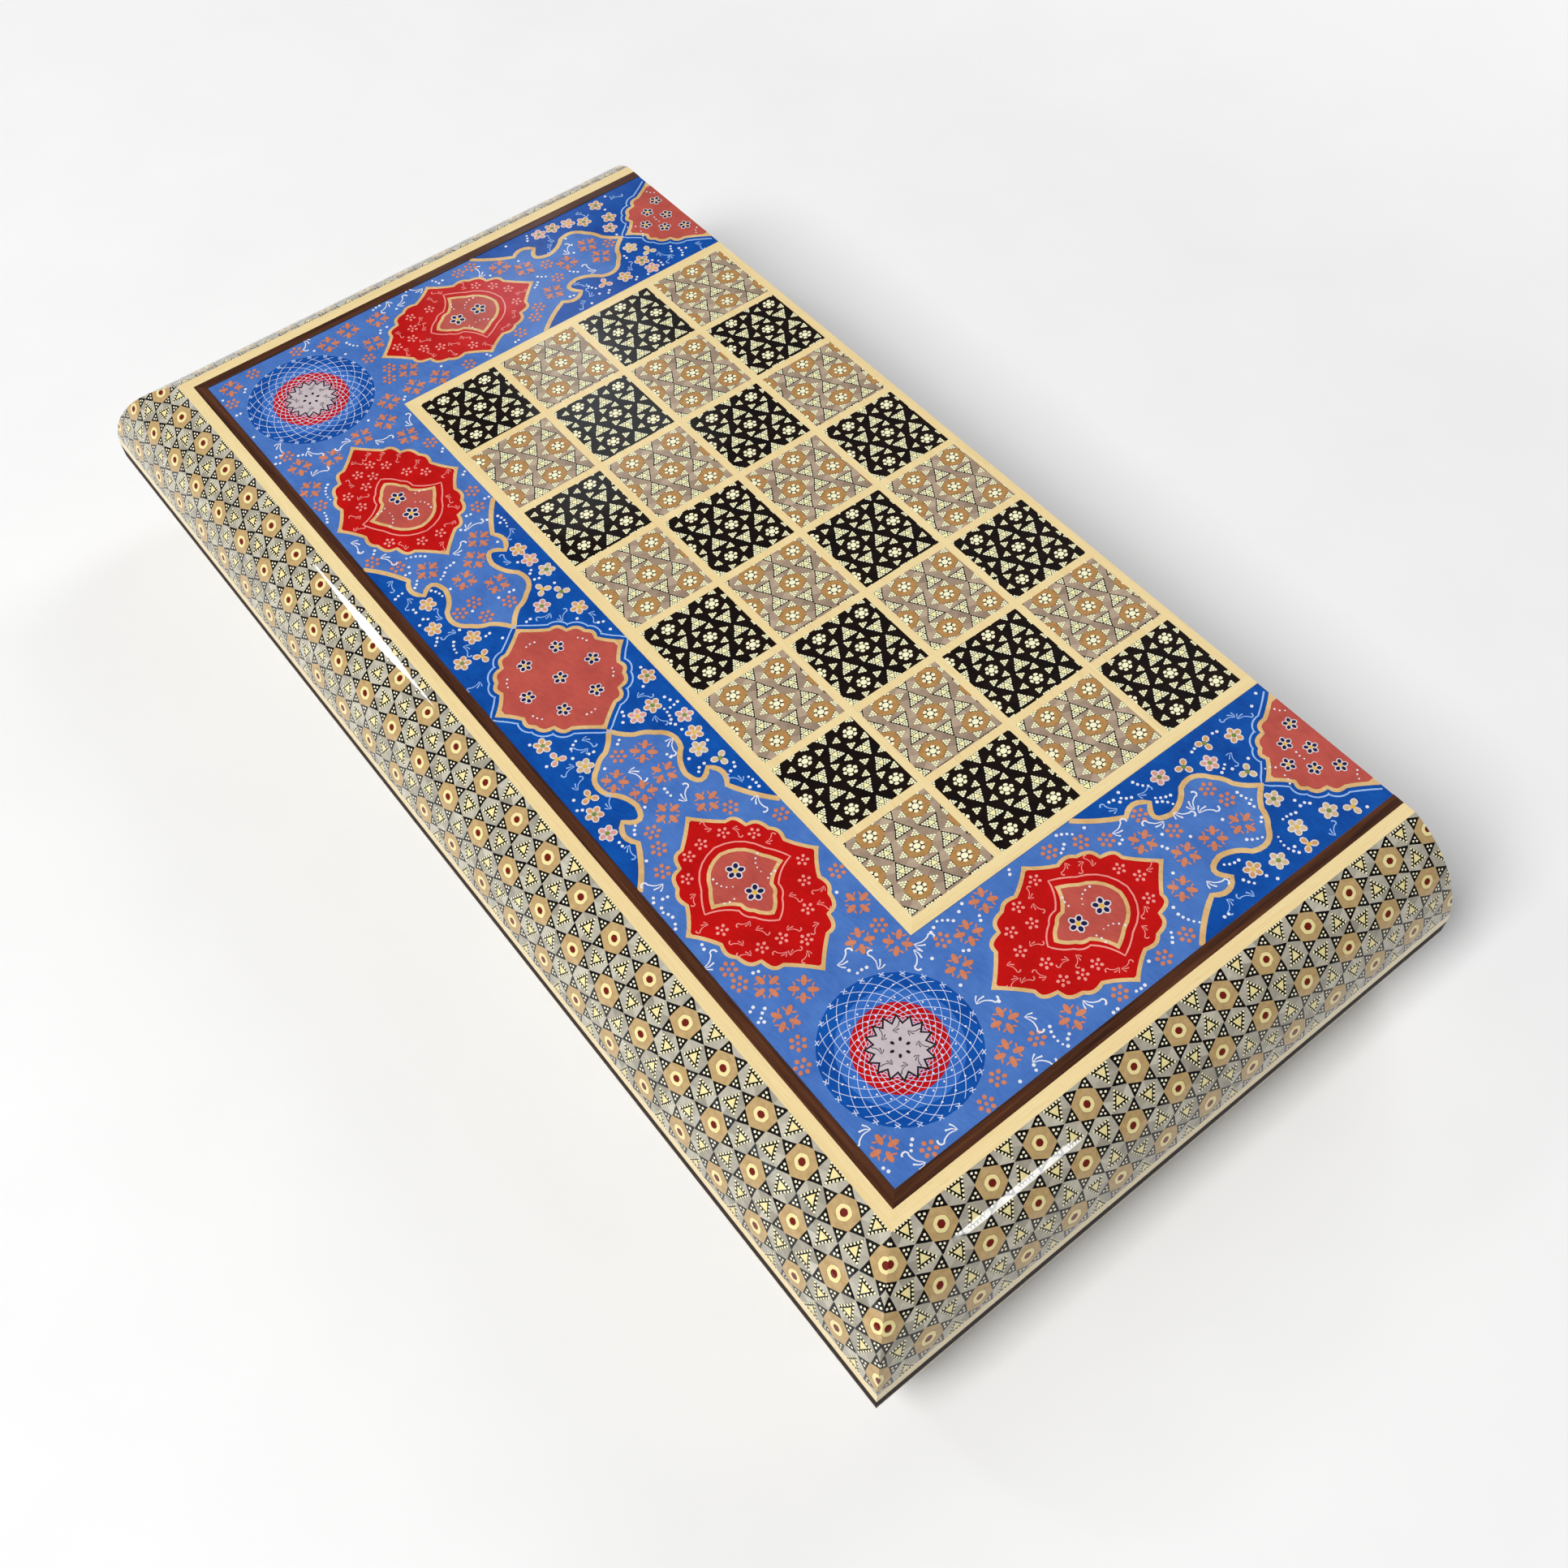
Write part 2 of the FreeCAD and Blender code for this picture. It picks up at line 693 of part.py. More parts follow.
keep_on_both_trays(cut("hinge_rail", hinge_wall_blank, screws), "hinge_rail")

# Rim capping: dark wood on every wall, which also covers the edge of the linings. On the
# hinge side the leaves and barrels are let into it
cap_width = wall + lining
for side in SIDES:
    keep_on_both_trays(
        board(side + "_rim_cap", mitred_side(side, Size(0), cap_width), cap_bed,
              size["RimCapThickness"]),
        side + "_rim_cap")

room = size["BarrelClearance"]
hinge_cap = board(
    "hinge_cap_blank",
    rectangle(-field_end, field_back, 2 * field_end, hinge_face - field_back),
    cap_bed, size["RimCapThickness"])
barrel_groove = new_sketch(hinge_cap, "YZ_Plane", leaf_start - room)
draw_circle(barrel_groove, pin_y, pin_z, barrel + room)
groove = pocket_up(hinge_cap, barrel_groove, size["HingeLength"] + 2 * room)
leaf_bed = new_sketch(hinge_cap, "XY_Plane", leaf_under)
draw_loop(leaf_bed, rectangle(leaf_start, leaf_edge, size["HingeLength"],
                              size["LeafReach"] + OVERRUN))
mortise = pocket_up(hinge_cap, leaf_bed, size["LeafThickness"] + OVERRUN)
repeat(hinge_cap, [groove, mortise], hinge_steps)
keep_on_both_trays(cut("hinge_rim_cap", hinge_cap, screws), "hinge_rim_cap")

# Playing pieces in stacks on the points of the lower tray. Two dice lie on the sixth point
# beside the light ones


def checker_stacks(name, is_left):
    body = new_body(name)
    reach = field_end - size["StackGap"] - size["CheckerRadius"]
    front_stack = field_front + lane / 2
    sketch = new_sketch(body, "XZ_Plane", -front_stack, -reach if is_left else reach)
    radius, thickness, edge = (size["CheckerRadius"], size["CheckerThickness"],
                               size["CheckerChamfer"])
    top = field_top + thickness
    draw_loop(sketch, [(0.0, field_top), (radius - edge, field_top), (radius, field_top + edge),
                       (radius, top - edge), (radius - edge, top), (0.0, top)])
    repeat(body, [turn(body, sketch)],
           [("Z_Axis", thickness + size["CheckerGap"], CHECKERS_PER_STACK),
            ("Y_Axis", lane, STACKS)])
    return body


keep(checker_stacks("light_checkers", True), "light_checkers")
keep(checker_stacks("dark_checkers", False), "dark_checkers")


def dice():
    side = size["DieSide"]
    die = new_body("die")
    sketch = new_sketch(die, "XY_Plane", field_top)
    die_front = field_front + (STACKS + 0.5) * lane - side / 2
    die_left = size["StackGap"] + size["CheckerRadius"] - side - size["DieGap"] / 2 - field_end
    draw_loop(sketch, rectangle(die_left, die_front, side, side))
    cube = pad(die, sketch, side)
    doc.recompute()
    broken = die.newObject("PartDesign::Chamfer", "die_edges")
    broken.Base = (cube, ["Edge%d" % (index + 1) for index in range(12)])
    bind(broken, Size=size["DieChamfer"])
    die.Tip = broken
    second = group("second_die", [die])
    place(second, x=side + size["DieGap"])
    return group("dice", [die, second])


keep(dice(), "dice")

doc.recompute()
os.makedirs("parts", exist_ok=True)
for node in nodes:
    troubled = [piece.Label for piece in [node] + node.OutListRecursive
                if {"Invalid", "Error"} & set(piece.State)]
    shape = node.Shape
    if troubled or shape.isNull() or not shape.isValid() or not shape.Solids:
        raise RuntimeError("%s is not sound: %s" % (node.Label, troubled))
for node in nodes:
    node.Shape.exportStep("parts/%s.step" % node.Label)
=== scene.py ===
"""Looks of a folding chess and backgammon case with khatam marquetry and a painted border.

Everything on a tray is drawn once, for the upper tray as it lies on the closed case, in
millimetres. The lower tray gets the same turned over about the long axis of the parting.
"""
import math
import random

import bpy
from mathutils import Matrix, Vector


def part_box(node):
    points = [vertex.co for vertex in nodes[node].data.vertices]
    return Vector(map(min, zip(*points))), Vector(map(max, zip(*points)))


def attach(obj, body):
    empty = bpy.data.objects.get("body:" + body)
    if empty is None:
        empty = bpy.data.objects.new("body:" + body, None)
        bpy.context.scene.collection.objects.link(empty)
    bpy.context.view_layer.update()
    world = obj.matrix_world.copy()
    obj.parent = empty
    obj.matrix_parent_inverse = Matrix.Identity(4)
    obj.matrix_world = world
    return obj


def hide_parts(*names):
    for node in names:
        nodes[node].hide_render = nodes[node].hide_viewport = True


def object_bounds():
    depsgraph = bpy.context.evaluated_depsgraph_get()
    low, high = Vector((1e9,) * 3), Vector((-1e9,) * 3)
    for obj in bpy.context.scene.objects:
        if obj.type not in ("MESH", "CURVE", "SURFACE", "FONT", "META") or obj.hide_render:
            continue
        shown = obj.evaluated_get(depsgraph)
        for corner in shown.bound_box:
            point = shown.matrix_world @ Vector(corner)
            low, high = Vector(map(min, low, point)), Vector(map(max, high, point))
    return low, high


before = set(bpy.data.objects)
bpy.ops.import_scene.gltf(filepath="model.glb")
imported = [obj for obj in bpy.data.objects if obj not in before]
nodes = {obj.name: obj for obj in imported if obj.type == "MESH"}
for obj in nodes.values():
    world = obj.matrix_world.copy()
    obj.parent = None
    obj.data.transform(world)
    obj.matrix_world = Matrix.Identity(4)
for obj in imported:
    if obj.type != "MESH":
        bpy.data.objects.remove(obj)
cad_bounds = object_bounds()
scene = bpy.context.scene
MM = 0.001


def node_box(name):
    """Lowest and highest corner of a CAD node in millimetres."""
    low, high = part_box(name)
    return low / MM, high / MM


# Sizes read from the frame
case_low, case_high = (Vector(corner) / MM for corner in cad_bounds)
CASE_TOP = case_high.z
HALF_LENGTH = node_box("upper_front_rim_cap")[1].x
FRONT = node_box("upper_front_rim_cap")[0].y
HINGE_FACE = node_box("upper_base_panel")[1].y
BEVEL_RUN = HALF_LENGTH - node_box("upper_light_banding")[1].x
KHATAM_LOW = node_box("upper_front_khatam")[0].z
PAINT_HALF = node_box("upper_painted_border")[1].x
PAINT_FRONT = node_box("upper_painted_border")[0].y
BOARD_HALF = node_box("upper_chess_frame")[1].x
BOARD_FRONT = node_box("upper_chess_frame")[0].y
FACE_BACK = node_box("upper_painted_border")[0].z
SQUARES_LOW, SQUARES_HIGH = node_box("upper_stringing")
FIELD_LOW, FIELD_HIGH = node_box("upper_playing_field")

UPPER = Matrix.Identity(4)
TURNED = Matrix.Translation((0, 0, CASE_TOP)) @ Matrix.Rotation(math.pi, 4, "Y")
TRAYS = (("upper", UPPER), ("lower", TURNED))


def other_end(tray, side):
    """The side's name on this tray, whose ends change places when it is turned over."""
    if tray == "lower":
        return {"left": "right", "right": "left"}.get(side, side)
    return side


# Shader formulas

def linear(red, green, blue):
    """A colour given as screen values from 0 to 255."""
    levels = [value / 255 for value in (red, green, blue)]
    return tuple(v / 12.92 if v <= 0.04045 else ((v + 0.055) / 1.055) ** 2.4
                 for v in levels) + (1.0,)


def add_node(tree, kind, **settings):
    node = tree.nodes.new("ShaderNode" + kind)
    for name, value in settings.items():
        setattr(node, name, value)
    return node


def feed(slot, value):
    if isinstance(value, Term):
        value.tree.links.new(value.socket, slot)
    else:
        slot.default_value = value


def fed(node, *values, output=0):
    """The node's output, once its sockets are fed with the values in their order."""
    for slot, value in zip(node.inputs, values):
        feed(slot, value)
    return Term(node.outputs[output])


class Term:
    """A shader value that can be used in a formula."""

    def __init__(self, socket):
        self.socket = socket
        self.tree = socket.id_data

    def of(self, operation, *others):
        return fed(add_node(self.tree, "Math", operation=operation), self, *others)

    def within(self, low, high):
        return self.of("MAXIMUM", low).of("MINIMUM", high)

    def __add__(self, other):
        return self.of("ADD", other)

    def __sub__(self, other):
        return self.of("SUBTRACT", other)

    def __rsub__(self, other):
        return self.of("MULTIPLY", -1.0) + other

    def __mul__(self, other):
        return self.of("MULTIPLY", other)

    def __lt__(self, other):
        return self.of("LESS_THAN", other)

    def __gt__(self, other):
        return self.of("GREATER_THAN", other)

    def __or__(self, other):
        return self.of("MAXIMUM", other)

    def __abs__(self):
        return self.of("ABSOLUTE")

    __radd__, __rmul__, __and__ = __add__, __mul__, __mul__


def source(tree, kind, output, **settings):
    return Term(add_node(tree, kind, **settings).outputs[output])


def split(vector):
    node = add_node(vector.tree, "SeparateXYZ")
    feed(node.inputs[0], vector)
    return [Term(output) for output in node.outputs]


def join(x, y, z=0.0):
    return fed(add_node(x.tree, "CombineXYZ"), x, y, z)


def vector_math(operation, vector, *others, output=0):
    node = add_node(vector.tree, "VectorMath", operation=operation)
    return fed(node, vector, *others, output=output)


def scaled(vector, amount):
    """A place or a colour, times a value."""
    node = add_node(vector.tree, "VectorMath", operation="SCALE")
    feed(node.inputs["Scale"], amount)
    return fed(node, vector)


def mix(share, first, second):
    """Colour or place that goes from first to second with share."""
    node = add_node(share.tree, "Mix", data_type="RGBA")
    for slot, value in ((0, share), (6, first), (7, second)):
        feed(node.inputs[slot], value)
    return Term(node.outputs[2])


def noise(vector, scale, detail=2.0, roughness=0.5, output="Fac"):
    node = add_node(vector.tree, "TexNoise")
    for name, value in (("Vector", vector), ("Scale", scale), ("Detail", detail),
                        ("Roughness", roughness)):
        feed(node.inputs[name], value)
    return Term(node.outputs[output])


def object_place(tree):
    """Position on the piece, in millimetres."""
    return scaled(source(tree, "TexCoord", "Object"), 1 / MM)


def new_material(name, roughness=0.42, coat=1.0, coat_roughness=0.04, metallic=0.0):
    """A material with its shader, ready for a colour."""
    material = bpy.data.materials.new(name)
    material.use_nodes = True
    shader = material.node_tree.nodes["Principled BSDF"]
    for socket, value in (("Roughness", roughness), ("Metallic", metallic),
                          ("Specular IOR Level", 0.05 if coat else 0.5),
                          ("Coat Weight", coat), ("Coat Roughness", coat_roughness)):
        shader.inputs[socket].default_value = value
    return material, material.node_tree, shader


def bump(height, distance, strength=1.0):
    node = add_node(height.tree, "Bump")
    for name, value in (("Strength", strength), ("Distance", distance), ("Height", height)):
        feed(node.inputs[name], value)
    return Term(node.outputs[0])


def lacquer(shader, place):
    """Waves of a thick coat that was rubbed flat by hand."""
    waves = noise(place, 0.03, 1.0) + 0.05 * noise(place, 0.25, 0.0)
    feed(shader.inputs["Coat Normal"], bump(waves, 0.0005, 0.3))


# Khatam: rods of wood, bone and brass in a six-sided repeat

ROOT3 = math.sqrt(3)
CELL_CORNER = 1 / ROOT3


def from_cell_centre(place):
    """Way from the nearest cell centre of a six-sided repeat whose side is one."""
    half_cell = (0.5, ROOT3 / 2, 0.5)
    shifted = vector_math("SUBTRACT", place, (0.5, ROOT3 / 2, 0.0))
    ways = [vector_math("WRAP", start, half_cell, [-side for side in half_cell])
            for start in (place, shifted)]
    first, second = [vector_math("LENGTH", way, output="Value") for way in ways]
    return mix(first > second, *ways)


def fold(x, y):
    """Mirror a place round a cell's centre into the wedge right of it."""
    x, y = abs(x), abs(y)
    past = (y * (ROOT3 / 2) - x * 0.5).of("MAXIMUM", 0.0)
    return x + past, abs(y - past * ROOT3)


def near_point(x, y, centre_x, centre_y, radius, radius_y=None):
    """One inside a rounded rod at that place."""
    dx = (x - centre_x) * (1 / radius)
    dy = (y - centre_y) * (1 / (radius_y or radius))
    return (dx * dx + dy * dy) < 1.0


def from_cell_corner(x, y, slim):
    """From the middle of a three-sided motif: way to its nearest side, and along that side."""
    across, up = abs(x), abs(y)
    on_axis = up > across * ROOT3
    dx = abs(across - 0.5 + on_axis * 0.5)
    dy = (up - CELL_CORNER / 2 - on_axis * (CELL_CORNER / 2)) * (on_axis * 2.0 - 1.0) * slim
    beyond = dx * (ROOT3 / 2) + dy * 0.5
    turned = beyond > dy * -1.0
    way = beyond.of("MAXIMUM", dy * -1.0)
    return way, dx + turned * (abs(dy * (ROOT3 / 2) - dx * 0.5) - dx)


def any_of(shares):
    found = shares[0]
    for share in shares[1:]:
        found = found | share
    return found


def khatam(name, style):
    """Marquetry on a map that counts the sheet's repeats; the glued rods drift a little."""
    material, tree, shader = new_material(name, roughness=0.38)
    plan = source(tree, "UVMap", 0, uv_map="repeat")
    drift = noise(plan, 1.3, 1.0, output="Color")
    bent = vector_math("MULTIPLY_ADD", drift, (0.10, 0.10, 0.0), plan)
    cell_x, cell_y, _ = split(from_cell_centre(bent))

    grain = noise(plan, 9.0, 3.0)
    bent_x, bent_y, _ = split(bent)
    slant = cell_y * (ROOT3 / 2) - abs(cell_x) * 0.5
    facet = join(((bent_x - cell_x) * 2).of("ROUND") + (cell_x > 0.0) * 0.3,
                 ((bent_y - cell_y) * 2).of("ROUND") + (cell_y > 0.0) * 0.3,
                 (slant > 0.0) * 0.3 + (abs(cell_y) * (ROOT3 / 2) > abs(cell_x) * 0.5) * 0.2)
    any_shade = fed(add_node(tree, "TexWhiteNoise", noise_dimensions="3D"), facet)
    pearl = any_shade * 0.6 + noise(plan, 3.3, 1.0) * 0.4
    colour = scaled(mix(pearl, style["ground"], style["ground_light"]),
                    grain * 0.3 + 0.84)

    x, y = fold(cell_x, cell_y * style["slim"])
    side, base, tip = style["hexagon_way"], style["arm_half"], style["arm_length"]
    in_arm = (x > side) & (y < (side + tip - x) * (base / tip))
    colour = mix(in_arm, colour, style["arm"])
    rods = any_of([near_point(x, y, side + level, aside, style["arm_rod"])
                   for level, aside in style["arm_rods"]])
    colour = mix(rods, colour, style["rod"])
    tan = mix(grain, style["hexagon"], style["hexagon_light"])
    colour = mix(x < side, colour, tan)
    reach = (x * x + y * y).of("SQRT")
    for radius, part in style["rings"]:
        colour = mix((reach * 0.6 + x * 0.4) < radius, colour, style[part])
    if style["petal"]:
        flower = near_point(x, y, *style["petal"]) | (reach < style["flower_heart"])
        colour = mix(flower, colour, style["bone"])

    way, along = from_cell_corner(cell_x, cell_y, style["triangle_slim"])
    colour = mix(way < style["triangle"], colour, style["arm_dark"])
    beads = any_of([near_point(way, along, level, aside, style["bead"])
                    for level, aside in style["beads"]])
    colour = mix(beads, colour, style["bone"])
    if style["petal"]:
        way = way * 0.5 + along * (ROOT3 / 2)
    colour = mix(way < style["heart"], colour, style["bone_warm"])

    feed(shader.inputs["Base Color"], scaled(colour, grain * 0.16 + 0.92))
    lacquer(shader, object_place(tree))
    return material


# Lengths in repeats, from the cell's centre or from the middle of a three-sided motif
EDGE_STYLE = {
    "ground": linear(130, 124, 110), "ground_light": linear(212, 206, 188),
    "slim": 0.96, "hexagon_way": 0.257, "arm_half": 0.135, "arm_length": 0.242,
    "arm": linear(8, 5, 6), "arm_dark": linear(8, 5, 5), "arm_rod": 0.0215,
    "arm_rods": ((0.052, 0.036), (0.118, 0.0)), "rod": linear(252, 244, 212),
    "hexagon": linear(170, 140, 92), "hexagon_light": linear(204, 174, 124),
    "rings": ((0.139, "line"), (0.132, "bone_warm"), (0.066, "red")), "petal": None,
    "line": linear(146, 110, 66), "red": linear(112, 26, 14),
    "triangle_slim": 0.876, "triangle": 0.110, "bead": 0.0190,
    "beads": ((0.092, 0.032), (0.092, 0.0955), (0.092, 0.157)), "heart": 0.051,
    "bone": linear(250, 242, 198), "bone_warm": linear(240, 224, 160),
}
LIGHT_STYLE = dict(
    EDGE_STYLE, ground=linear(140, 118, 100), ground_light=linear(202, 180, 156),
    slim=0.85, hexagon_way=0.240, arm_half=0.096, arm_length=0.166, arm=linear(40, 28, 20),
    arm_rod=0.0240, arm_rods=((0.032, 0.0), (0.032, 0.054), (0.078, 0.027), (0.124, 0.0)),
    rod=linear(255, 252, 208), hexagon=linear(166, 120, 68), hexagon_light=linear(198, 152, 94),
    rings=((0.124, "line"),), petal=(0.109, 0.0, 0.033, 0.043), flower_heart=0.064,
    line=linear(70, 22, 14),
    triangle_slim=0.82, triangle=0.118, bead=0.0218,
    beads=((0.079, 0.138), (0.079, 0.088), (0.079, 0.036), (0.036, 0.062)), heart=0.040,
    bone=linear(255, 253, 212), bone_warm=linear(255, 248, 184))
DARK_STYLE = dict(
    LIGHT_STYLE, ground=linear(9, 3, 2), ground_light=linear(26, 13, 8),
    arm=linear(9, 4, 3), hexagon=linear(10, 4, 2), hexagon_light=linear(34, 16, 9),
    arm_dark=linear(9, 4, 3), line=linear(56, 16, 9))


# Woods and metal

def as_drawn(x, y, z):
    return x, y, z


def along_y(x, y, z):
    return y, x, z


def round_the_sides(x, y, z):
    """Grain along each mitred strip: along X in front, along Y at the ends."""
    at_end = (HALF_LENGTH - abs(x)) < (y - FRONT)
    return x + at_end * (y - x), y + at_end * (x - y), z


def round_the_board(x, y, z):
    at_end = ((BOARD_HALF - abs(x)) < (y - BOARD_FRONT)) & (abs(x) > SQUARES_HIGH.x)
    return x + at_end * (y - x), y + at_end * (x - y), z


def wood(name, dark, light, way=as_drawn, ring=0.16, coat=1.0, roughness=0.42, figure=1.0,
         pores=0.22):
    """Lacquered wood with pores and streaks; way turns the axes so that the grain runs along X."""
    material, tree, shader = new_material(name, roughness, coat, 0.04 if coat == 1.0 else 0.22)
    place = object_place(tree)
    x, y, z = way(*split(place))
    broad = noise(join(x * 0.035, y, z), ring, 3.0, 0.6)
    streaks = noise(join(x * 0.035, y, z), 1.6, 3.0, 0.65)
    holes = noise(join(x * 0.12, y * 1.6, z * 1.6), 2.2, 2.0)
    share = ((broad - 0.5) * 1.5 * figure + (streaks - 0.5) * 0.9 + 0.5).within(0.0, 1.0)
    feed(shader.inputs["Base Color"],
         scaled(mix(share, linear(*dark), linear(*light)), 1.0 - (holes < 0.38) * pores))
    lacquer(shader, place)
    return material


def brass(name):
    material, tree, shader = new_material(name, coat=0.0, metallic=1.0)
    place = object_place(tree)
    x, y, z = split(place)
    brushed = noise(join(x * 0.05, y * 2.0, z * 2.0), 3.0, 2.0)
    tarnish = noise(place, 0.12, 3.0)
    feed(shader.inputs["Base Color"],
         mix(tarnish, linear(196, 152, 78), linear(232, 198, 122)))
    feed(shader.inputs["Roughness"], brushed * 0.2 + 0.2)
    feed(shader.inputs["Normal"], bump(brushed, 0.00004, 0.3))
    return material


def dress(names, material, bevel=0.0):
    """Give CAD nodes a material, and rounded edges where asked."""
    for name in names:
        piece = nodes[name]
        piece.data.materials.clear()
        piece.data.materials.append(material)
        if bevel:
            rounding = piece.modifiers.new("rounding", "BEVEL")
            rounding.width = bevel * MM
            rounding.segments = 2
            rounding.limit_method = "ANGLE"
            rounding.angle_limit = math.radians(40)


def both(name):
    return ["upper_" + name, "lower_" + name]


def new_mesh(name, vertices, faces, material):
    mesh = bpy.data.meshes.new(name)
    mesh.from_pydata(vertices, [], faces)
    mesh.materials.append(material)
    return mesh


def add_object(name, data):
    thing = bpy.data.objects.new(name, data)
    scene.collection.objects.link(thing)
    return thing


def circle(count, radius, other_radius=None):
    """Points round the origin, on an ellipse if a radius across is given."""
    turns = [2 * math.pi * i / count for i in range(count)]
    return [(radius * math.cos(turn), (other_radius or radius) * math.sin(turn))
            for turn in turns]


def band(start, after, count):
    """Faces between two rings of as many points, whose numbers begin at start and after."""
    return [[start + i, start + (i + 1) % count, after + (i + 1) % count, after + i]
            for i in range(count)]


def add_piece(name, tray, vertices, faces, material, replaced, repeat=None):
    """A mesh drawn in millimetres for the upper tray, put on the tray asked for."""
    turn = dict(TRAYS)[tray]
    mesh = new_mesh(name, [turn @ Vector(v) * MM for v in vertices], faces, material)
    if repeat:
        layer = mesh.uv_layers.new(name="repeat")
        for loop in mesh.loops:
            layer.data[loop.index].uv = repeat[loop.vertex_index]
    piece = add_object("%s_%s" % (tray, name), mesh)
    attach(piece, tray + "_tray")
    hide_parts("%s_%s" % (tray, replaced))
    return piece


# Rounded edge: the same arc as in the solids, found from the frame

SKIN = 1.2
CENTRE_OVER_PARTING = 1.0
cap_low, cap_high = node_box("upper_front_rim_cap")
CENTRE_DEPTH = CASE_TOP - (cap_low.z + CENTRE_OVER_PARTING)
CAP_DEPTH = CASE_TOP - cap_high.z
CENTRE_INSET = (BEVEL_RUN ** 2 + (2 * CENTRE_DEPTH - CAP_DEPTH) * CAP_DEPTH) / (2 * BEVEL_RUN)
ARC_RADIUS = math.hypot(CENTRE_INSET, CENTRE_DEPTH - CAP_DEPTH)
ARC_STEPS = 22
EDGE_REPEAT = 19.05
EDGE_ROWS = 14.4
FIRST_ROW = 7.7
FIRST_HEXAGON = {"front": 1.3, "left": 9.85, "right": 9.85}


def edge_profile():
    """(inset, height, length round the arc) of the skin's outside, then its inside."""
    start = math.atan2(CENTRE_INSET - BEVEL_RUN, CENTRE_DEPTH)
    end = math.acos((CENTRE_DEPTH - (CASE_TOP - KHATAM_LOW)) / ARC_RADIUS)
    outside, inside = [], []
    for step in range(ARC_STEPS + 1):
        angle = start + (end - start) * step / ARC_STEPS
        for radius, side in ((ARC_RADIUS, outside), (ARC_RADIUS - SKIN, inside)):
            inset = min(CENTRE_INSET - radius * math.sin(angle), BEVEL_RUN)
            height = CASE_TOP - CENTRE_DEPTH + radius * math.cos(angle)
            side.append((inset, height, ARC_RADIUS * (angle - start)))
    return outside + inside[::-1]


def edge_piece(tray, side, index, count, material):
    """One stretch of the inlaid skin, mitred where it meets the next side."""
    profile = edge_profile()
    total = 2 * HALF_LENGTH if side == "front" else HINGE_FACE - FRONT
    vertices, repeat = [], []
    for end in (index / count, (index + 1) / count):
        for inset, height, length in profile:
            if side == "front":
                run = -HALF_LENGTH + total * end
                run = max(min(run, HALF_LENGTH - inset), -HALF_LENGTH + inset)
                vertices.append((run, FRONT + inset, height))
            else:
                run = max(FRONT + total * end, FRONT + inset)
                across = HALF_LENGTH - inset
                vertices.append((across if side == "right" else -across, run, height))
            repeat.append(((run - FIRST_HEXAGON[side]) / EDGE_REPEAT,
                           (length - FIRST_ROW) * ROOT3 / 2 / EDGE_ROWS))
    ring = len(profile)
    faces = band(0, ring, ring) + [list(range(ring))[::-1], list(range(ring, 2 * ring))]
    if side != "left":
        faces = [face[::-1] for face in faces]
    name = "%s_khatam" % other_end(tray, side)
    piece = add_piece("%s_%d" % (name, index + 1), tray, vertices, faces, material,
                      name, repeat)
    for polygon in piece.data.polygons:
        polygon.use_smooth = len(polygon.vertices) == 4
    piece.data.set_sharp_from_angle(angle=math.radians(50))


SQUARE = 34.8
STRING = 3.2
STEP = SQUARE + STRING
SQUARE_REPEAT = 19.3
SQUARE_ROWS = 12.2
FLOWER_SHIFT = 2.7
CUT_DRIFT = (1.2, 1.5)
OTHER_CUTS = 0.25


def chess_square(tray, file, rank, material, kind, scatter):
    """One inlaid square with its own cut of the sheet."""
    left = SQUARES_LOW.x + file * STEP
    front = SQUARES_LOW.y + rank * STEP
    corners = [(left, front), (left + SQUARE, front), (left + SQUARE, front + SQUARE),
               (left, front + SQUARE)]
    drift_x, drift_y = [scatter.uniform(-drift, drift) for drift in CUT_DRIFT]
    middle_x = left + SQUARE / 2 + drift_x
    middle_y = front + SQUARE / 2 + FLOWER_SHIFT + drift_y
    if scatter.random() < OTHER_CUTS:
        middle_y += SQUARE_REPEAT / 2
    vertices = [(x, y, z) for z in (CASE_TOP, FACE_BACK) for x, y in corners]
    repeat = [((y - middle_y) / SQUARE_REPEAT, (x - middle_x) * ROOT3 / 2 / SQUARE_ROWS)
              for x, y in corners] * 2
    faces = [(0, 1, 2, 3), (7, 6, 5, 4)] + band(4, 0, 4)
    add_piece("%s_square_%d_%d" % (kind, file + 1, rank + 1), tray, vertices, faces, material,
              "%s_squares" % kind, repeat)


edge_khatam = khatam("khatam_edge", EDGE_STYLE)
light_khatam = khatam("khatam_light", LIGHT_STYLE)
dark_khatam = khatam("khatam_dark", DARK_STYLE)
for tray, _ in TRAYS:
    for side, count in (("front", 4), ("left", 2), ("right", 2)):
        for index in range(count):
            edge_piece(tray, side, index, count, edge_khatam)
    scatter = random.Random(7 if tray == "upper" else 8)
    for file in range(8):
        for rank in range(4):
            is_dark = (file + rank) % 2 == 0
            chess_square(tray, file, rank, dark_khatam if is_dark else light_khatam,
                         "dark" if is_dark else "light", scatter)

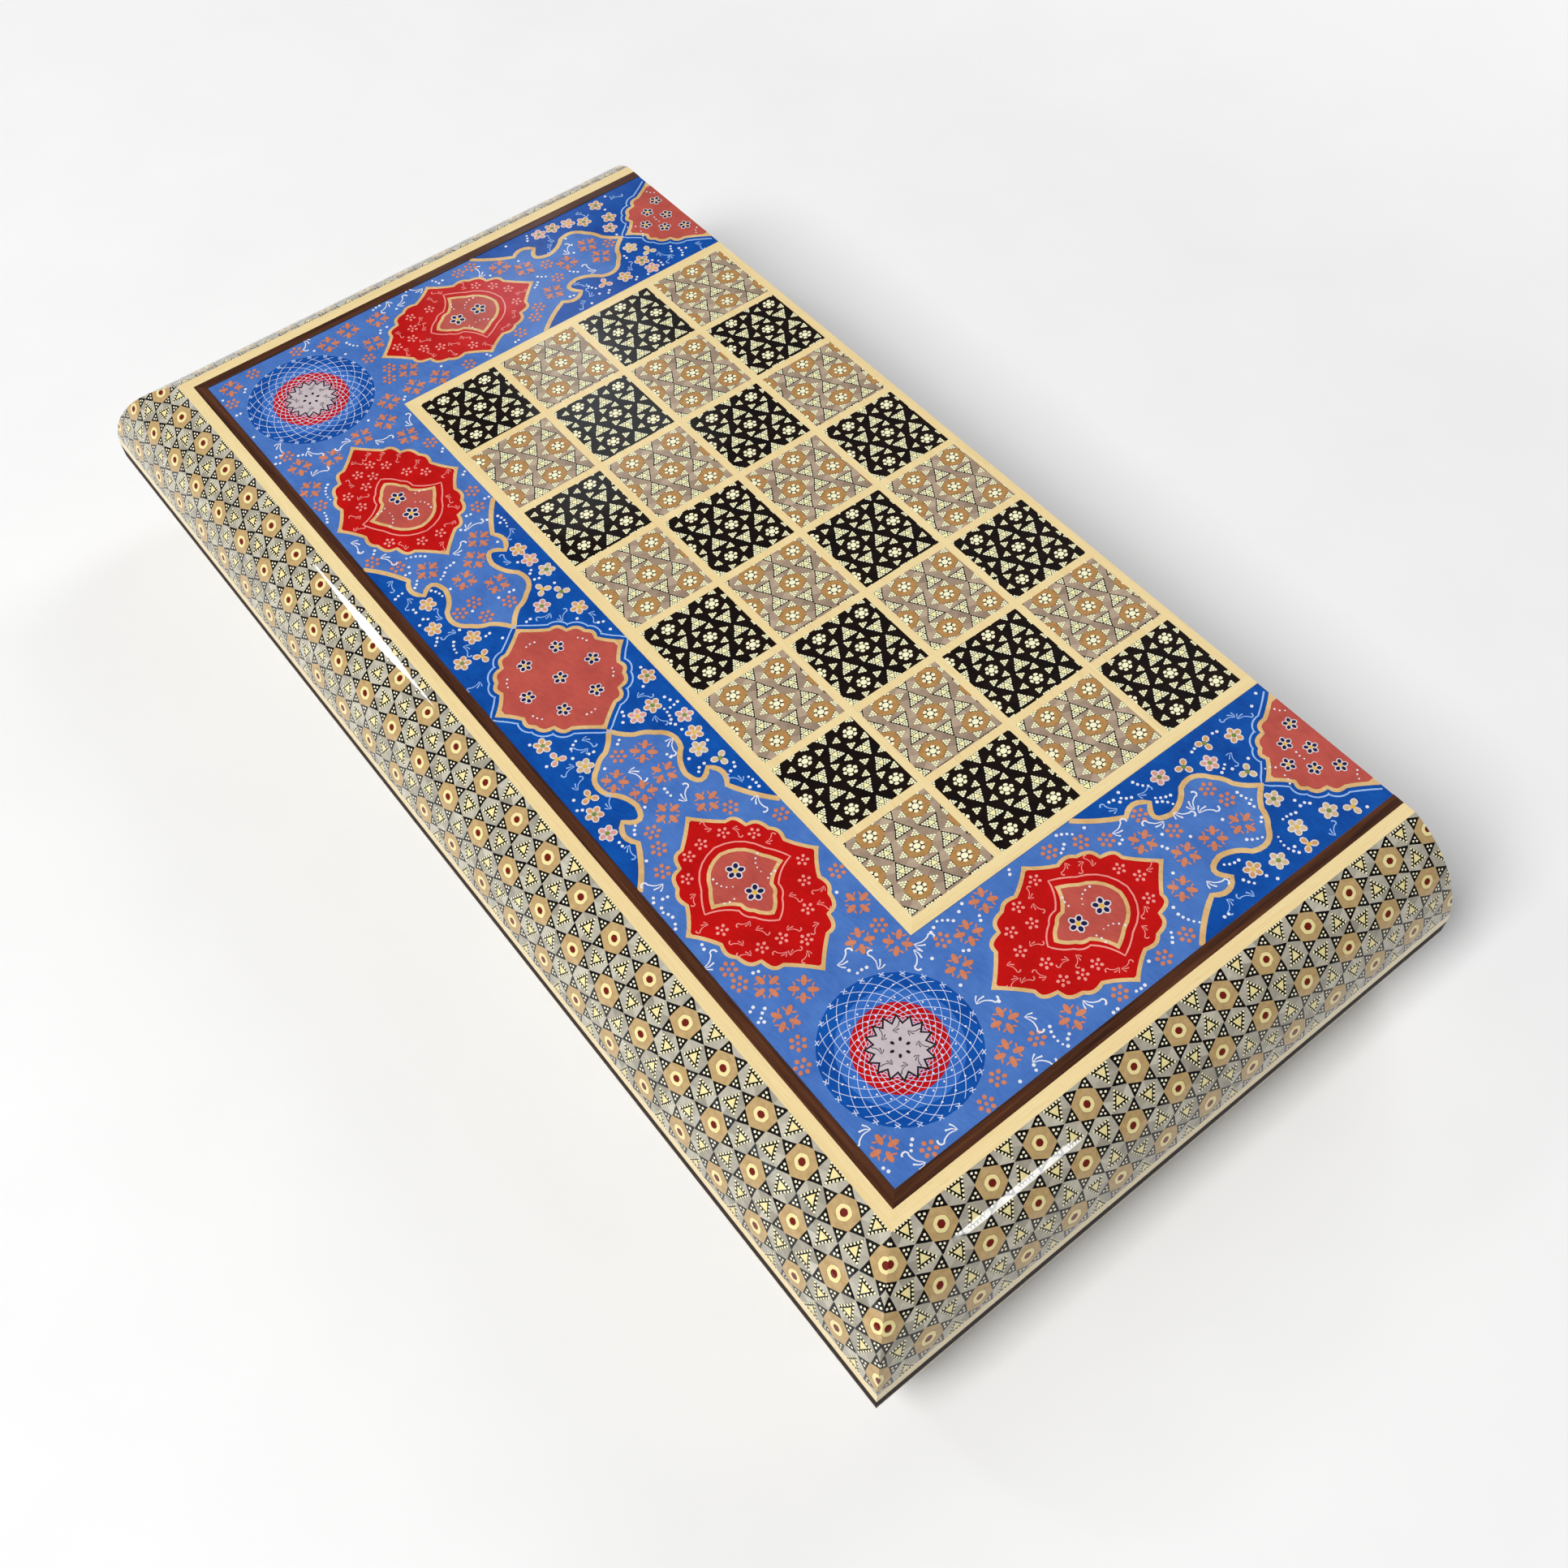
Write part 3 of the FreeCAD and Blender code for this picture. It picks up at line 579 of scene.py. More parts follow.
PALE = ((236, 204, 142), (255, 236, 182))
ROSEWOOD = ((40, 18, 11), (98, 54, 32))
FIELD = ((96, 50, 26), (150, 88, 48))
CALM_PALE = {"figure": 0.6, "pores": 0.07}
INSIDE_COAT = 0.3
dress(both("light_banding") + both("rim_banding"),
      wood("pale_wood_strip", *PALE, way=round_the_sides, **CALM_PALE))
dress(both("chess_frame"), wood("pale_wood_frame", *PALE, way=round_the_board, **CALM_PALE))
dress(both("stringing"), wood("pale_wood_string", *PALE, **CALM_PALE))
dress(both("dark_banding"),
      wood("rosewood_strip", (26, 10, 6), (106, 62, 38), ring=0.45,
           way=round_the_sides))
dress([tray + "_%s_rim_cap" % side for tray, _ in TRAYS for side in ("front", "left", "right")],
      wood("rosewood_cap", (18, 8, 5), (48, 24, 14), way=round_the_sides,
           coat=0.05, roughness=0.6), 0.4)
dress(both("hinge_rim_cap"),
      wood("rosewood_long", (30, 15, 10), (70, 36, 24), coat=INSIDE_COAT), 0.3)
dress(both("hinge_rail") + both("front_rail"), wood("rail_wood", *ROSEWOOD))
dress(both("left_rail") + both("right_rail"), wood("rail_wood_end", *ROSEWOOD, way=along_y))
dress(both("base_panel"), wood("plywood", (150, 110, 66), (196, 156, 104)))
dress(both("playing_field"), wood("field_veneer", *FIELD, coat=INSIDE_COAT))
dress(both("wall_linings"), wood("lining_veneer", *FIELD, coat=INSIDE_COAT))
dress(both("light_points"),
      wood("light_points", (226, 188, 126), (246, 218, 164), coat=INSIDE_COAT))
dress(both("dark_points"),
      wood("dark_points", (30, 16, 12), (66, 36, 26), coat=INSIDE_COAT))

CHECKER_LOW, CHECKER_HIGH = node_box("light_checkers")
CHECKER_RADIUS = (CHECKER_HIGH.x - CHECKER_LOW.x) / 2
CHECKER_ROW = (CHECKER_HIGH.x + CHECKER_LOW.x) / 2
CHECKER_PITCH = (CHECKER_HIGH.y - CHECKER_LOW.y - 2 * CHECKER_RADIUS) / 4
GROOVES = ((12.2, 0.55), (10.6, 0.3), (3.6, 0.3))


def turned_wood(name, dark, light):
    """Wood of the playing pieces, with grooves turned round each piece's middle, bumped in and
    painted darker as painted shade.
    """
    material = wood(name, dark, light, coat=INSIDE_COAT)
    tree = material.node_tree
    shader = tree.nodes["Principled BSDF"]
    x, y, _ = split(object_place(tree))
    aside = abs(x) - abs(CHECKER_ROW)
    lane = (y - (CHECKER_LOW.y + CHECKER_RADIUS - CHECKER_PITCH / 2)) * (1 / CHECKER_PITCH)
    ahead = (lane.of("FRACT") - 0.5) * CHECKER_PITCH
    reach = (aside * aside + ahead * ahead).of("SQRT")
    groove = any_of([(1.0 - abs(reach - radius) * (1 / width)).of("MAXIMUM", 0.0)
                     for radius, width in GROOVES])
    colour = Term(shader.inputs["Base Color"].links[0].from_socket)
    # Base colour painted darker in the grooves: painted shade in the recesses; the carved shape
    # comes from the bump.
    feed(shader.inputs["Base Color"], scaled(colour, 1.0 - groove * 0.6))
    carved = bump(1.0 - groove, 0.0004)
    feed(shader.inputs["Normal"], carved)
    feed(shader.inputs["Coat Normal"], carved)
    return material


dress(["light_checkers"], turned_wood("maple", (222, 184, 122), (244, 214, 160)))
dress(["dark_checkers"], turned_wood("walnut", (40, 20, 13), (84, 46, 30)))


RING_STEPS = 72


def rosette_ring(tray, name, inner, outer, material):
    """A flat ring or disc of the rosette, let into the field."""
    low, high = node_box("upper_field_rosette")
    middle = (low + high) / 2
    count = RING_STEPS
    rings = [(outer, low.z), (outer, high.z)]
    if inner:
        rings += [(inner, high.z), (inner, low.z)]
        faces = [face for i in range(4) for face in band(i * count, (i + 1) % 4 * count, count)]
    else:
        faces = band(0, count, count) + [list(range(count))[::-1], list(range(count, 2 * count))]
    vertices = [(middle.x + x, middle.y + y, z) for radius, z in rings
                for x, y in circle(count, radius)]
    repeat = [(y / EDGE_REPEAT, x * ROOT3 / 2 / EDGE_ROWS) for x, y, _ in vertices]
    add_piece(name, tray, vertices, faces, material, "field_rosette", repeat)


rosette_dark = wood("rosette_line", (24, 12, 9), (56, 30, 20))
rosette_pale = wood("rosette_pale", *PALE, pores=0.07)
ROSETTE = (("middle", 24.6, light_khatam, "khatam_light"),
           ("inner_line", 26.0, rosette_dark, "dark_wood"),
           ("inner_band", 28.4, rosette_pale, "light_wood"),
           ("outer_band", 32.0, edge_khatam, "khatam_edge"),
           ("outer_line", 33.0, rosette_dark, "dark_wood"))
for tray, _ in TRAYS:
    inner = 0
    for name, outer, material, slot in ROSETTE:
        rosette_ring(tray, "rosette_" + name, inner, outer, material)
        inner = outer
dress(both("hinge_leaves") + ["hinge_pins"] + both("leaf_screws"), brass("brass"))
dress(["dice"], wood("dice", (236, 230, 210), (248, 244, 232), figure=0.2), 1.0)

CORNERS = ((-1, -1), (1, 1), (1, -1), (-1, 1))
PIPS = {1: ((0, 0),), 2: CORNERS[:2], 3: CORNERS[:2] + ((0, 0),), 4: CORNERS,
        5: CORNERS + ((0, 0),), 6: CORNERS + ((-1, 0), (1, 0))}
PIP_PITCH = 0.26
PIP_CUP = ((1.15, 0.0), (1.0, 0.04), (0.5, 0.015))
PIP_SIDES = 14


def add_pips():
    """Shallow painted cups on the two dice; opposite faces add up to seven."""
    low, high = node_box("dice")
    edge = high.z - low.z
    vertices, faces = [], []
    for x, sides in ((low.x + edge / 2, (5, 3, 1)), (high.x - edge / 2, (6, 2, 4))):
        middle = Vector((x, (low.y + high.y) / 2, (low.z + high.z) / 2))
        for axis, count in zip((Vector((0, 0, 1)), Vector((1, 0, 0)), Vector((0, 1, 0))), sides):
            for way, number in ((axis, count), (-axis, 7 - count)):
                turn = way.to_track_quat("Z", "Y").to_matrix()
                for u, v in PIPS[number]:
                    base, spread = len(vertices), edge * PIP_PITCH
                    for radius, level in PIP_CUP:
                        vertices.extend(
                            middle + turn @ Vector((u * spread + x, v * spread + y,
                                                    edge / 2 + level))
                            for x, y in circle(PIP_SIDES, radius))
                    a, b, c = (base + i * PIP_SIDES for i in range(3))
                    faces += band(a, b, PIP_SIDES) + band(b, c, PIP_SIDES)
                    faces += [list(range(c, c + PIP_SIDES)), list(range(a, b))[::-1]]
    mesh = new_mesh("dice_pips", [vertex * MM for vertex in vertices], faces,
                    wood("pip_paint", (14, 12, 14), (34, 30, 32)))
    pips = add_object("dice_pips", mesh)
    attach(pips, "lower_tray")


add_pips()

# Painting: thin layers of colour on the panel round the half board

LAYER = 0.03
LAYERS = 9
PAINT_BED = CASE_TOP - LAYERS * LAYER
CROSSING_STROKES = 25
DOT_PITCH = 1.75
SIDE_MIDDLE = (BOARD_HALF + PAINT_HALF) / 2
FRONT_MIDDLE = (BOARD_FRONT + PAINT_FRONT) / 2
SIDE_REACH = (PAINT_HALF - BOARD_HALF) / 2
FRONT_REACH = (BOARD_FRONT - PAINT_FRONT) / 2


def arcs(corners, bulges, steps=7):
    """Points along arcs between corners; a bulge is an arc's rise over its chord, to the right."""
    points = []
    for (x0, y0), (x1, y1), bulge in zip(corners, corners[1:], bulges):
        for step in range(steps):
            share = step / steps
            rise = 4 * bulge * share * (1 - share)
            points.append((x0 + (x1 - x0) * share + (y1 - y0) * rise,
                           y0 + (y1 - y0) * share - (x1 - x0) * rise))
    return points + [corners[-1]]


def moved(points, place, turn=0.0, size=(1.0, 1.0)):
    """Points made larger, turned by an angle in degrees, and carried to a place."""
    angle = math.radians(turn)
    c, s = math.cos(angle), math.sin(angle)
    return [(place[0] + x * size[0] * c - y * size[1] * s,
             place[1] + x * size[0] * s + y * size[1] * c) for x, y in points]


def offset(outline, distance, closed=True):
    """Points moved sideways by a distance, to the left of the way the outline runs."""
    result = []
    last = len(outline) - 1
    for i, (x, y) in enumerate(outline):
        before = outline[i - 1] if closed or i > 0 else outline[0]
        after = outline[(i + 1) % len(outline)] if closed or i < last else outline[last]
        dx, dy = after[0] - before[0], after[1] - before[1]
        size = math.hypot(dx, dy) or 1.0
        result.append((x - dy / size * distance, y + dx / size * distance))
    return result


class Region:
    """An outline that tells how deep inside it a place is."""

    def __init__(self, outline):
        self.edges = list(zip(outline, outline[1:] + outline[:1]))
        self.spans = [(min(values), max(values)) for values in zip(*outline)]

    def depth(self, point, far=9.0):
        """Distance to the outline, negative outside it; places further out count as far."""
        if not all(low - far < value < high + far
                   for value, (low, high) in zip(point, self.spans)):
            return -far
        x, y = point
        nearest, inside = math.inf, False
        for (x0, y0), (x1, y1) in self.edges:
            if (y0 > y) != (y1 > y) and x < x0 + (y - y0) * (x1 - x0) / (y1 - y0):
                inside = not inside
            dx, dy = x1 - x0, y1 - y0
            share = ((x - x0) * dx + (y - y0) * dy) / ((dx * dx + dy * dy) or 1.0)
            share = max(0.0, min(1.0, share))
            nearest = min(nearest, math.hypot(x0 + share * dx - x, y0 + share * dy - y))
        return nearest if inside else -nearest


def inset(outline, distance):
    """The outline drawn in by a distance all round."""
    region = Region(outline)
    return [point for point in offset(outline, distance)
            if region.depth(point) > distance * 0.93]


class Painting:
    """Patches of paint in millimetres, sorted by colour. A higher level lies on a lower one."""

    def __init__(self):
        self.meshes = {}
        self.strokes = 0

    def height(self, level):
        """Top of the next stroke. Strokes of one level lie a hair apart where they cross."""
        self.strokes = (self.strokes + 1) % CROSSING_STROKES
        return PAINT_BED + LAYER * (level + 0.5 * self.strokes / CROSSING_STROKES)

    def slab(self, colour, low, high, outlines, faces):
        """A thin solid: faces join points of the outlines, and sides close each outline."""
        vertices, polygons = self.meshes.setdefault(colour, ([], []))
        base = len(vertices)
        points = [point for outline in outlines for point in outline]
        vertices.extend((x, y, high) for x, y in points)
        vertices.extend((x, y, low) for x, y in points)
        below = base + len(points)
        for face in faces:
            polygons.append([base + i for i in face])
            polygons.append([below + i for i in reversed(face)])
        start = 0
        for outline in outlines:
            polygons += band(below + start, base + start, len(outline))
            start += len(outline)

    def stroke(self, colour, level, outlines, faces):
        """A layer of paint that reaches into the one under it."""
        high = self.height(level)
        self.slab(colour, high - 1.5 * LAYER, high, outlines, faces)

    def patch(self, colour, level, outline):
        self.stroke(colour, level, [outline], [list(range(len(outline)))])

    def ribbon(self, colour, level, outline, width):
        """A brush line along a closed outline."""
        faces = [face[::-1] for face in band(0, len(outline), len(outline))]
        self.stroke(colour, level, [offset(outline, width / 2), offset(outline, -width / 2)],
                    faces)

    def line(self, colour, level, points, width, end_width=None):
        """A brush line, which may grow thinner to its end."""
        end_width = width if end_width is None else end_width
        last = len(points) - 1
        left, right = [], []
        for i, ((x, y), (ax, ay)) in enumerate(zip(points, offset(points, 1.0, closed=False))):
            half = (width + (end_width - width) * i / last) / 2
            left.append((x + (ax - x) * half, y + (ay - y) * half))
            right.append((x - (ax - x) * half, y - (ay - y) * half))
        faces = [[i, i + 1, 2 * last - i, 2 * last + 1 - i] for i in range(last)]
        self.stroke(colour, level, [right + left[::-1]], faces)

    def dot(self, colour, level, place, radius, length=None, turn=0.0, sides=8):
        """A dab of the brush, round or longer in one direction."""
        self.patch(colour, level, moved(circle(sides, length or radius, radius), place, turn))

    def cluster(self, colour, level, place, size, turn, petals=5):
        self.dot(colour, level, place, size * 0.20)
        for i in range(petals):
            spot = moved([(size * 0.66, 0)], place, turn + 360 * i / petals)[0]
            self.dot(colour, level, spot, size * 0.22, size * 0.25, turn + 360 * i / petals)

    def cross_flower(self, colour, level, place, size, turn):
        """Four long petals, and a pair of short strokes between each two."""
        for i in range(4):
            way = turn + 90 * i
            self.dot(colour, level, moved([(size * 0.58, 0)], place, way)[0],
                     size * 0.19, size * 0.38, way)
            for side in (-1, 1):
                spot = moved([(size * 0.66, 0)], place, way + 45 + 15 * side)[0]
                self.dot(colour, level, spot, size * 0.06, size * 0.17, way + 45 - 20 * side)

    def curl(self, colour, level, place, size, turn, hand=1):
        """A hooked blade and two short ones, all from one foot."""
        hook = [(-1.0, 0.0), (-0.45, 0.10), (0.15, 0.40), (0.52, 0.92), (0.95, 0.88), (1.02, 0.5)]
        blades = [(arcs(hook, [-0.04, 0.08, 0.1, -0.2, -0.15], 2), 0.08, 0.21),
                  ([(-1.0, 0.0), (-0.50, -0.20), (0.10, -0.18)], 0.05, 0.18),
                  ([(-1.0, 0.0), (-0.78, -0.38), (-0.44, -0.66)], 0.05, 0.16)]
        for blade, foot, end in blades:
            self.line(colour, level, moved(blade, place, turn, (size, size * hand)),
                      foot * size, end * size)

    def dot_row(self, place, count, turn, size=0.42):
        """A bent row of white dots that grow smaller."""
        for i in range(count):
            along = (i - (count - 1) / 2) * DOT_PITCH
            spot = moved([(along, 0.10 * along * along)], place, turn)[0]
            self.dot("white", 6, spot, size * (1 - 0.1 * i), sides=7)

    def dot_trails(self, scatter, outline, count, depth, taken):
        """Bent rows of white dots, each as long as there is room for."""
        for start in spots(scatter, outline, count, 0.9, depth, taken):
            heading, bend = scatter.uniform(0, 360), scatter.choice((-14, -9, 9, 14))
            spot, row = start, [start]
            for _ in range(scatter.randint(2, 6)):
                heading += bend
                spot = moved([(DOT_PITCH, 0)], spot, heading)[0]
                if depth(spot) < 0.8 or any(math.dist(spot, other) < 0.7 + reach
                                            for other, reach in taken if other != start):
                    break
                row.append(spot)
            for i, spot in enumerate(row):
                self.dot("white", 3, spot, 0.62 - 0.05 * i, sides=7)
            taken.extend((spot, 0.8) for spot in row)

    def outlined_flower(self, level, place, size, turn, petal="midnight", heart="yellow",
                        petals=5):
        """Petals in a pale outline, round a small heart."""
        for i in range(petals):
            way = turn + 360 * i / petals
            spot = moved([(size * 0.56, 0)], place, way)[0]
            self.dot("outline_white", level, spot, size * 0.37, size * 0.43, way)
            self.dot(petal, level + 1, spot, size * 0.24, size * 0.30, way)
        self.dot(heart, level + 1.6, place, size * 0.26)


def full_outline(quarter):
    """A closed outline from its first quarter, which runs from the right tip to the top."""
    half = quarter[:-1] + [(-x, y) for x, y in quarter[::-1]]
    return half[:-1] + [(-x, -y) for x, y in half[:-1]]


CARTOUCHE = full_outline(arcs(
    [(1, 0), (0.75, 0.34), (0.60, 0.52), (0.44, 0.71), (0.25, 0.76), (0, 1)],
    [-0.02, 0.24, 0.22, 0.24, -0.04], 6))
BUD = arcs([(1, 0), (0.67, 0.33), (0.38, 0.47), (0.05, 1.02), (-0.40, 0.76), (-1, 0)],
           [0.08, 0.14, -0.08, 0.04, 0.15], 5)
BUD += [(x, -y) for x, y in BUD[-2:0:-1]]
OGEE = arcs([(0, 0), (7, 6.2), (10.5, 12), (21.5, 15.4), (31.2, 10.2), (33.6, 17.8),
             (43.5, 18.5), (59, 28.9)],
            [0.06, -0.08, -0.22, 0.10, 0.52, -0.24, 0.04], 6)


def ogee(tip, turn, reach):
    """Both sides of the pointed field from one end over its tip to the other."""
    half = [(along, aside * reach / 29) for along, aside in OGEE]
    whole = [(along, -aside) for along, aside in half[::-1]] + half[1:]
    return moved(whole, tip, turn)


def paint_red_cartouche(art, place, turn, size, scatter):
    """Gold edge, red ground and a bud whose point looks along the turn."""
    outline = moved(CARTOUCHE, place, turn, size)
    bud_place = moved([(-size[0] * 0.10, 0)], place, turn)[0]
    art.patch("gold", 2, outline)
    red = inset(outline, 1.35)
    art.patch("red", 3, red)
    bud = moved(BUD, bud_place, turn, (14.6, 14.2))
    art.ribbon("pink", 4, moved(BUD, bud_place, turn, (17.2, 16.9)), 0.55)
    art.patch("gold", 4, bud)
    art.patch("salmon", 5, inset(bud, 1.3))
    in_red, in_bud = Region(red), Region(bud)
    for along in (-5.9, 4.4):
        spot = moved([(along, 0)], bud_place, turn)[0]
        art.outlined_flower(6, spot, 3.5, scatter.uniform(0, 72))
    for side in (-1, 1):
        for along, aside, count, bend in ((-4.2, 6.9, 5, 28), (2.2, 8.3, 3, 80)):
            art.dot_row(moved([(along, aside * side)], bud_place, turn)[0], count,
                        turn - bend * side)
    taken = []

    def on_red(point):
        return min(in_red.depth(point), -in_bud.depth(point) - 2.9)

    for spot in spots(scatter, outline, 12, 2.9, on_red, taken):
        art.cluster("pink", 4, spot, 2.5, scatter.uniform(0, 360))
    for spot in spots(scatter, outline, 46, 2.1, on_red, taken):
        art.curl("pink", 4, spot, 2.1, scatter.uniform(0, 360), scatter.choice((-1, 1)))
    return outline


def paint_salmon_cartouche(art, outline, place, size, scatter):
    """Gold and pale blue edges round a ground with dark flowers."""
    art.ribbon("pale_blue", 2, offset(outline, -1.7), 0.6)
    art.patch("gold", 2, outline)
    art.patch("salmon", 5, inset(outline, 1.5))
    ring = [(0, 0)] + [moved([(0.5, 0)], (0, 0), 60 * i + 30)[0] for i in range(6)]
    for x, y in ring:
        art.outlined_flower(6, (place[0] + x * size[0], place[1] + y * size[1]), 3.0,
                            scatter.uniform(0, 72))
    for i in range(12):
        x, y = moved([(0.63 if i % 2 else 0.74, 0)], (0, 0), 30 * i)[0]
        art.dot_row((place[0] + x * size[0] * 0.92, place[1] + y * size[1] * 0.92), 3,
                    30 * i + 90)


def paint_half(art, half, place, scatter):
    """The half of a salmon cartouche that meets its other half across the hinge."""
    inner = inset(half, 1.5)
    inner = [(inner[0][0], HINGE_FACE)] + inner + [(inner[-1][0], HINGE_FACE)]
    art.line("pale_blue", 2, offset(half, -1.7, closed=False), 0.6)
    art.patch("gold", 2, half)
    art.patch("salmon", 5, inner)
    for x, y in ((-11, -4.5), (0, -6.5), (11, -4.5), (0, -17.5), (-6.5, -12), (6.5, -12)):
        art.outlined_flower(6, (place[0] + x, place[1] + y), 2.9, scatter.uniform(0, 72))
    for x, y in ((-17, -3), (17, -3), (-3, -23), (4, -22), (0, -12)):
        art.dot_row((place[0] + x, place[1] + y), 3, 40 * x, 0.4)


def spots(scatter, outline, count, radius, depth, taken):
    """Free places of a radius inside an outline's reach, kept clear of each other."""
    xs, ys = [x for x, _ in outline], [y for _, y in outline]
    found = []
    for _ in range(count * 45):
        place = (scatter.uniform(min(xs), max(xs)), scatter.uniform(min(ys), max(ys)))
        if any(math.dist(place, other) < radius + reach for other, reach in taken):
            continue
        if depth(place) > radius * 0.95:
            taken.append((place, radius))
            found.append(place)
            if len(found) == count:
                break
    return found


def paint_medallion(art, place, radius):
    """Interlaced circles over a blue and a red ring, round a pale star."""
    for colour, level, share, sides in (("deep_blue", 1, 1.0, 64), ("middle_blue", 2, 0.78, 56),
                                        ("red", 3, 0.60, 48)):
        art.dot(colour, level, place, radius * share, sides=sides)
    bow, away, sweep = radius * 0.80, radius * 0.46, math.radians(97)
    bowed = [(-bow * math.cos(sweep * t / 20), bow * math.sin(sweep * t / 20))
             for t in range(-20, 21)]
    for way in range(0, 360, 15):
        centre = moved([(away, 0)], place, way)[0]
        art.line("lace", 4, moved(bowed, centre, way), 0.20)
        rim = moved([(radius * 0.985, 0)], place, way + 3)[0]
        for turn in (way - 52, way + 58):
            art.line("lace", 4.6, moved([(-1.0, 0), (1.0, 0)], rim, turn), 0.32)
        for reach in (0.83, 0.66, 0.50):
            spot = moved([(radius * reach, 0)], place, way + 10.5)[0]
            art.dot("white", 5, spot, 0.34, sides=6)
    inner = radius * 0.42
    zigzag = [moved([(1.06 if i % 2 else 0.80, 0)], (0, 0), 11.25 * i)[0] for i in range(32)]
    art.patch("ink", 5, moved(zigzag, place, 0, (inner, inner)))
    art.patch("star_white", 6, moved(zigzag, place, 0, (inner * 0.90, inner * 0.90)))
    for way in range(20, 380, 60):
        art.dot("ink", 7, moved([(inner * 0.26, 0)], place, way)[0], 0.55, 0.78, way, sides=6)
    for way in range(10, 370, 45):
        art.curl("ink", 7, moved([(inner * 0.60, 0)], place, way)[0], 1.9, way - 70)


MEDALLION_X = 182.0
MEDALLION_RADIUS = 25.4
RED_FRONT_X = 111.2
RED_SIDE_Y = 10.2
FRONT_TIP_X = 29.6
SIDE_TIP_Y = 93.0
SALMON_SIZE = (28.6, 27.2)


def paint_border():
    """Deep fields in gold lines, cartouches and medallions, then scattered small motifs."""
    art = Painting()
    scatter = random.Random(11)
    ground = [(-PAINT_HALF, PAINT_FRONT), (PAINT_HALF, PAINT_FRONT), (PAINT_HALF, HINGE_FACE),
              (BOARD_HALF, HINGE_FACE), (BOARD_HALF, BOARD_FRONT), (-BOARD_HALF, BOARD_FRONT),
              (-BOARD_HALF, HINGE_FACE), (-PAINT_HALF, HINGE_FACE)]
    art.slab("cornflower", FACE_BACK, PAINT_BED, [ground], [list(range(len(ground)))])

    gold_lines = [ogee((-FRONT_TIP_X, FRONT_MIDDLE), 180, FRONT_REACH),
                  ogee((FRONT_TIP_X, FRONT_MIDDLE), 0, FRONT_REACH)]
    deep_fields = [gold_lines[1] + gold_lines[0]]
    for side in (-1, 1):
        line = ogee((side * SIDE_MIDDLE, SIDE_TIP_Y), -90, SIDE_REACH)
        gold_lines.append(line)
        deep_fields.append(line + [(line[-1][0], HINGE_FACE), (line[0][0], HINGE_FACE)])
    for field in deep_fields:
        art.patch("deep_blue", 1, field)
    for line in gold_lines:
        art.line("gold", 2, line, 1.9)

    shapes = []
    for side in (-1, 1):
        place = (side * MEDALLION_X, FRONT_MIDDLE + 1.2)
        paint_medallion(art, place, MEDALLION_RADIUS)
        reach = MEDALLION_RADIUS + 1.2
        shapes.append(moved([(math.cos(t / 5), math.sin(t / 5)) for t in range(31)], place, 0,
                            (reach, reach)))
        for middle, turn, size in (
                ((side * RED_FRONT_X, FRONT_MIDDLE), 0 if side > 0 else 180, (36.6, 26.8)),
                ((side * SIDE_MIDDLE, RED_SIDE_Y), -90, (37.2, 26.6))):
            shapes.append(paint_red_cartouche(art, middle, turn, size, scatter))
        middle = (side * SIDE_MIDDLE, HINGE_FACE)
        whole = moved(CARTOUCHE, middle, 180, (24.6, 28.6))
        half = whole[:len(whole) // 2 + 1]
        paint_half(art, half, middle, scatter)
        shapes.append(half)
    square = moved(CARTOUCHE, (0, FRONT_MIDDLE), 0, SALMON_SIZE)
    paint_salmon_cartouche(art, square, (0, FRONT_MIDDLE), SALMON_SIZE, scatter)
    shapes.append(square)

    panel, blues = Region(ground), [Region(field) for field in deep_fields]
    drawn = [Region(shape) for shape in shapes]

    def on_light(point):
        clear = min([panel.depth(point)] + [-blue.depth(point) - 0.6 for blue in blues])
        return clear if clear < 0 else min([clear] + [-r.depth(point) - 0.4 for r in drawn])

    def on_deep(point):
        clear = max(blue.depth(point) for blue in blues) - 0.9
        return clear if clear < 0 else min([clear] + [-r.depth(point) - 2.4 for r in drawn])

    taken = []
    for spot in spots(scatter, ground, 76, 5.0, on_light, taken):
        art.cross_flower("coral", 3, spot, 5.2, scatter.uniform(0, 90))
    for spot in spots(scatter, ground, 90, 3.1, on_light, taken):
        art.cluster("coral", 3, spot, 3.3, scatter.uniform(0, 72), 6)
    for spot in spots(scatter, ground, 150, 2.6, on_light, taken):
        art.curl("white", 3, spot, 3.3, scatter.uniform(0, 360), scatter.choice((-1, 1)))
    art.dot_trails(scatter, ground, 110, on_light, taken)
    petals = ("ochre", "rose", "ochre", "sand")
    for spot in spots(scatter, ground, 80, 3.4, on_deep, taken):
        art.outlined_flower(3, spot, 3.5, scatter.uniform(0, 72), scatter.choice(petals),
                            scatter.choice(("yellow", "green")), scatter.choice((5, 5, 3)))
    for spot in spots(scatter, ground, 100, 2.3, on_deep, taken):
        art.curl("pale_blue", 3, spot, 2.6, scatter.uniform(0, 360), scatter.choice((-1, 1)))
    art.dot_trails(scatter, ground, 90, on_deep, taken)
    return art


def paint(name, first, second):
    """Paint under lacquer, with faint brush streaks and thicker and thinner places."""
    material, tree, shader = new_material(name)
    place = object_place(tree)
    x, y, z = split(place)
    clouds = noise(place, 0.09, 3.0, 0.6)
    streaks = noise(join(x * 0.35 + y * 0.2, y * 1.4 - x * 0.3, z), 0.8, 2.0)
    share = ((clouds - 0.5) * 1.6 + (streaks - 0.5) * 0.8 + 0.5).within(0.0, 1.0)
    feed(shader.inputs["Base Color"], mix(share, linear(*first), linear(*second)))
    lacquer(shader, place)
    return material


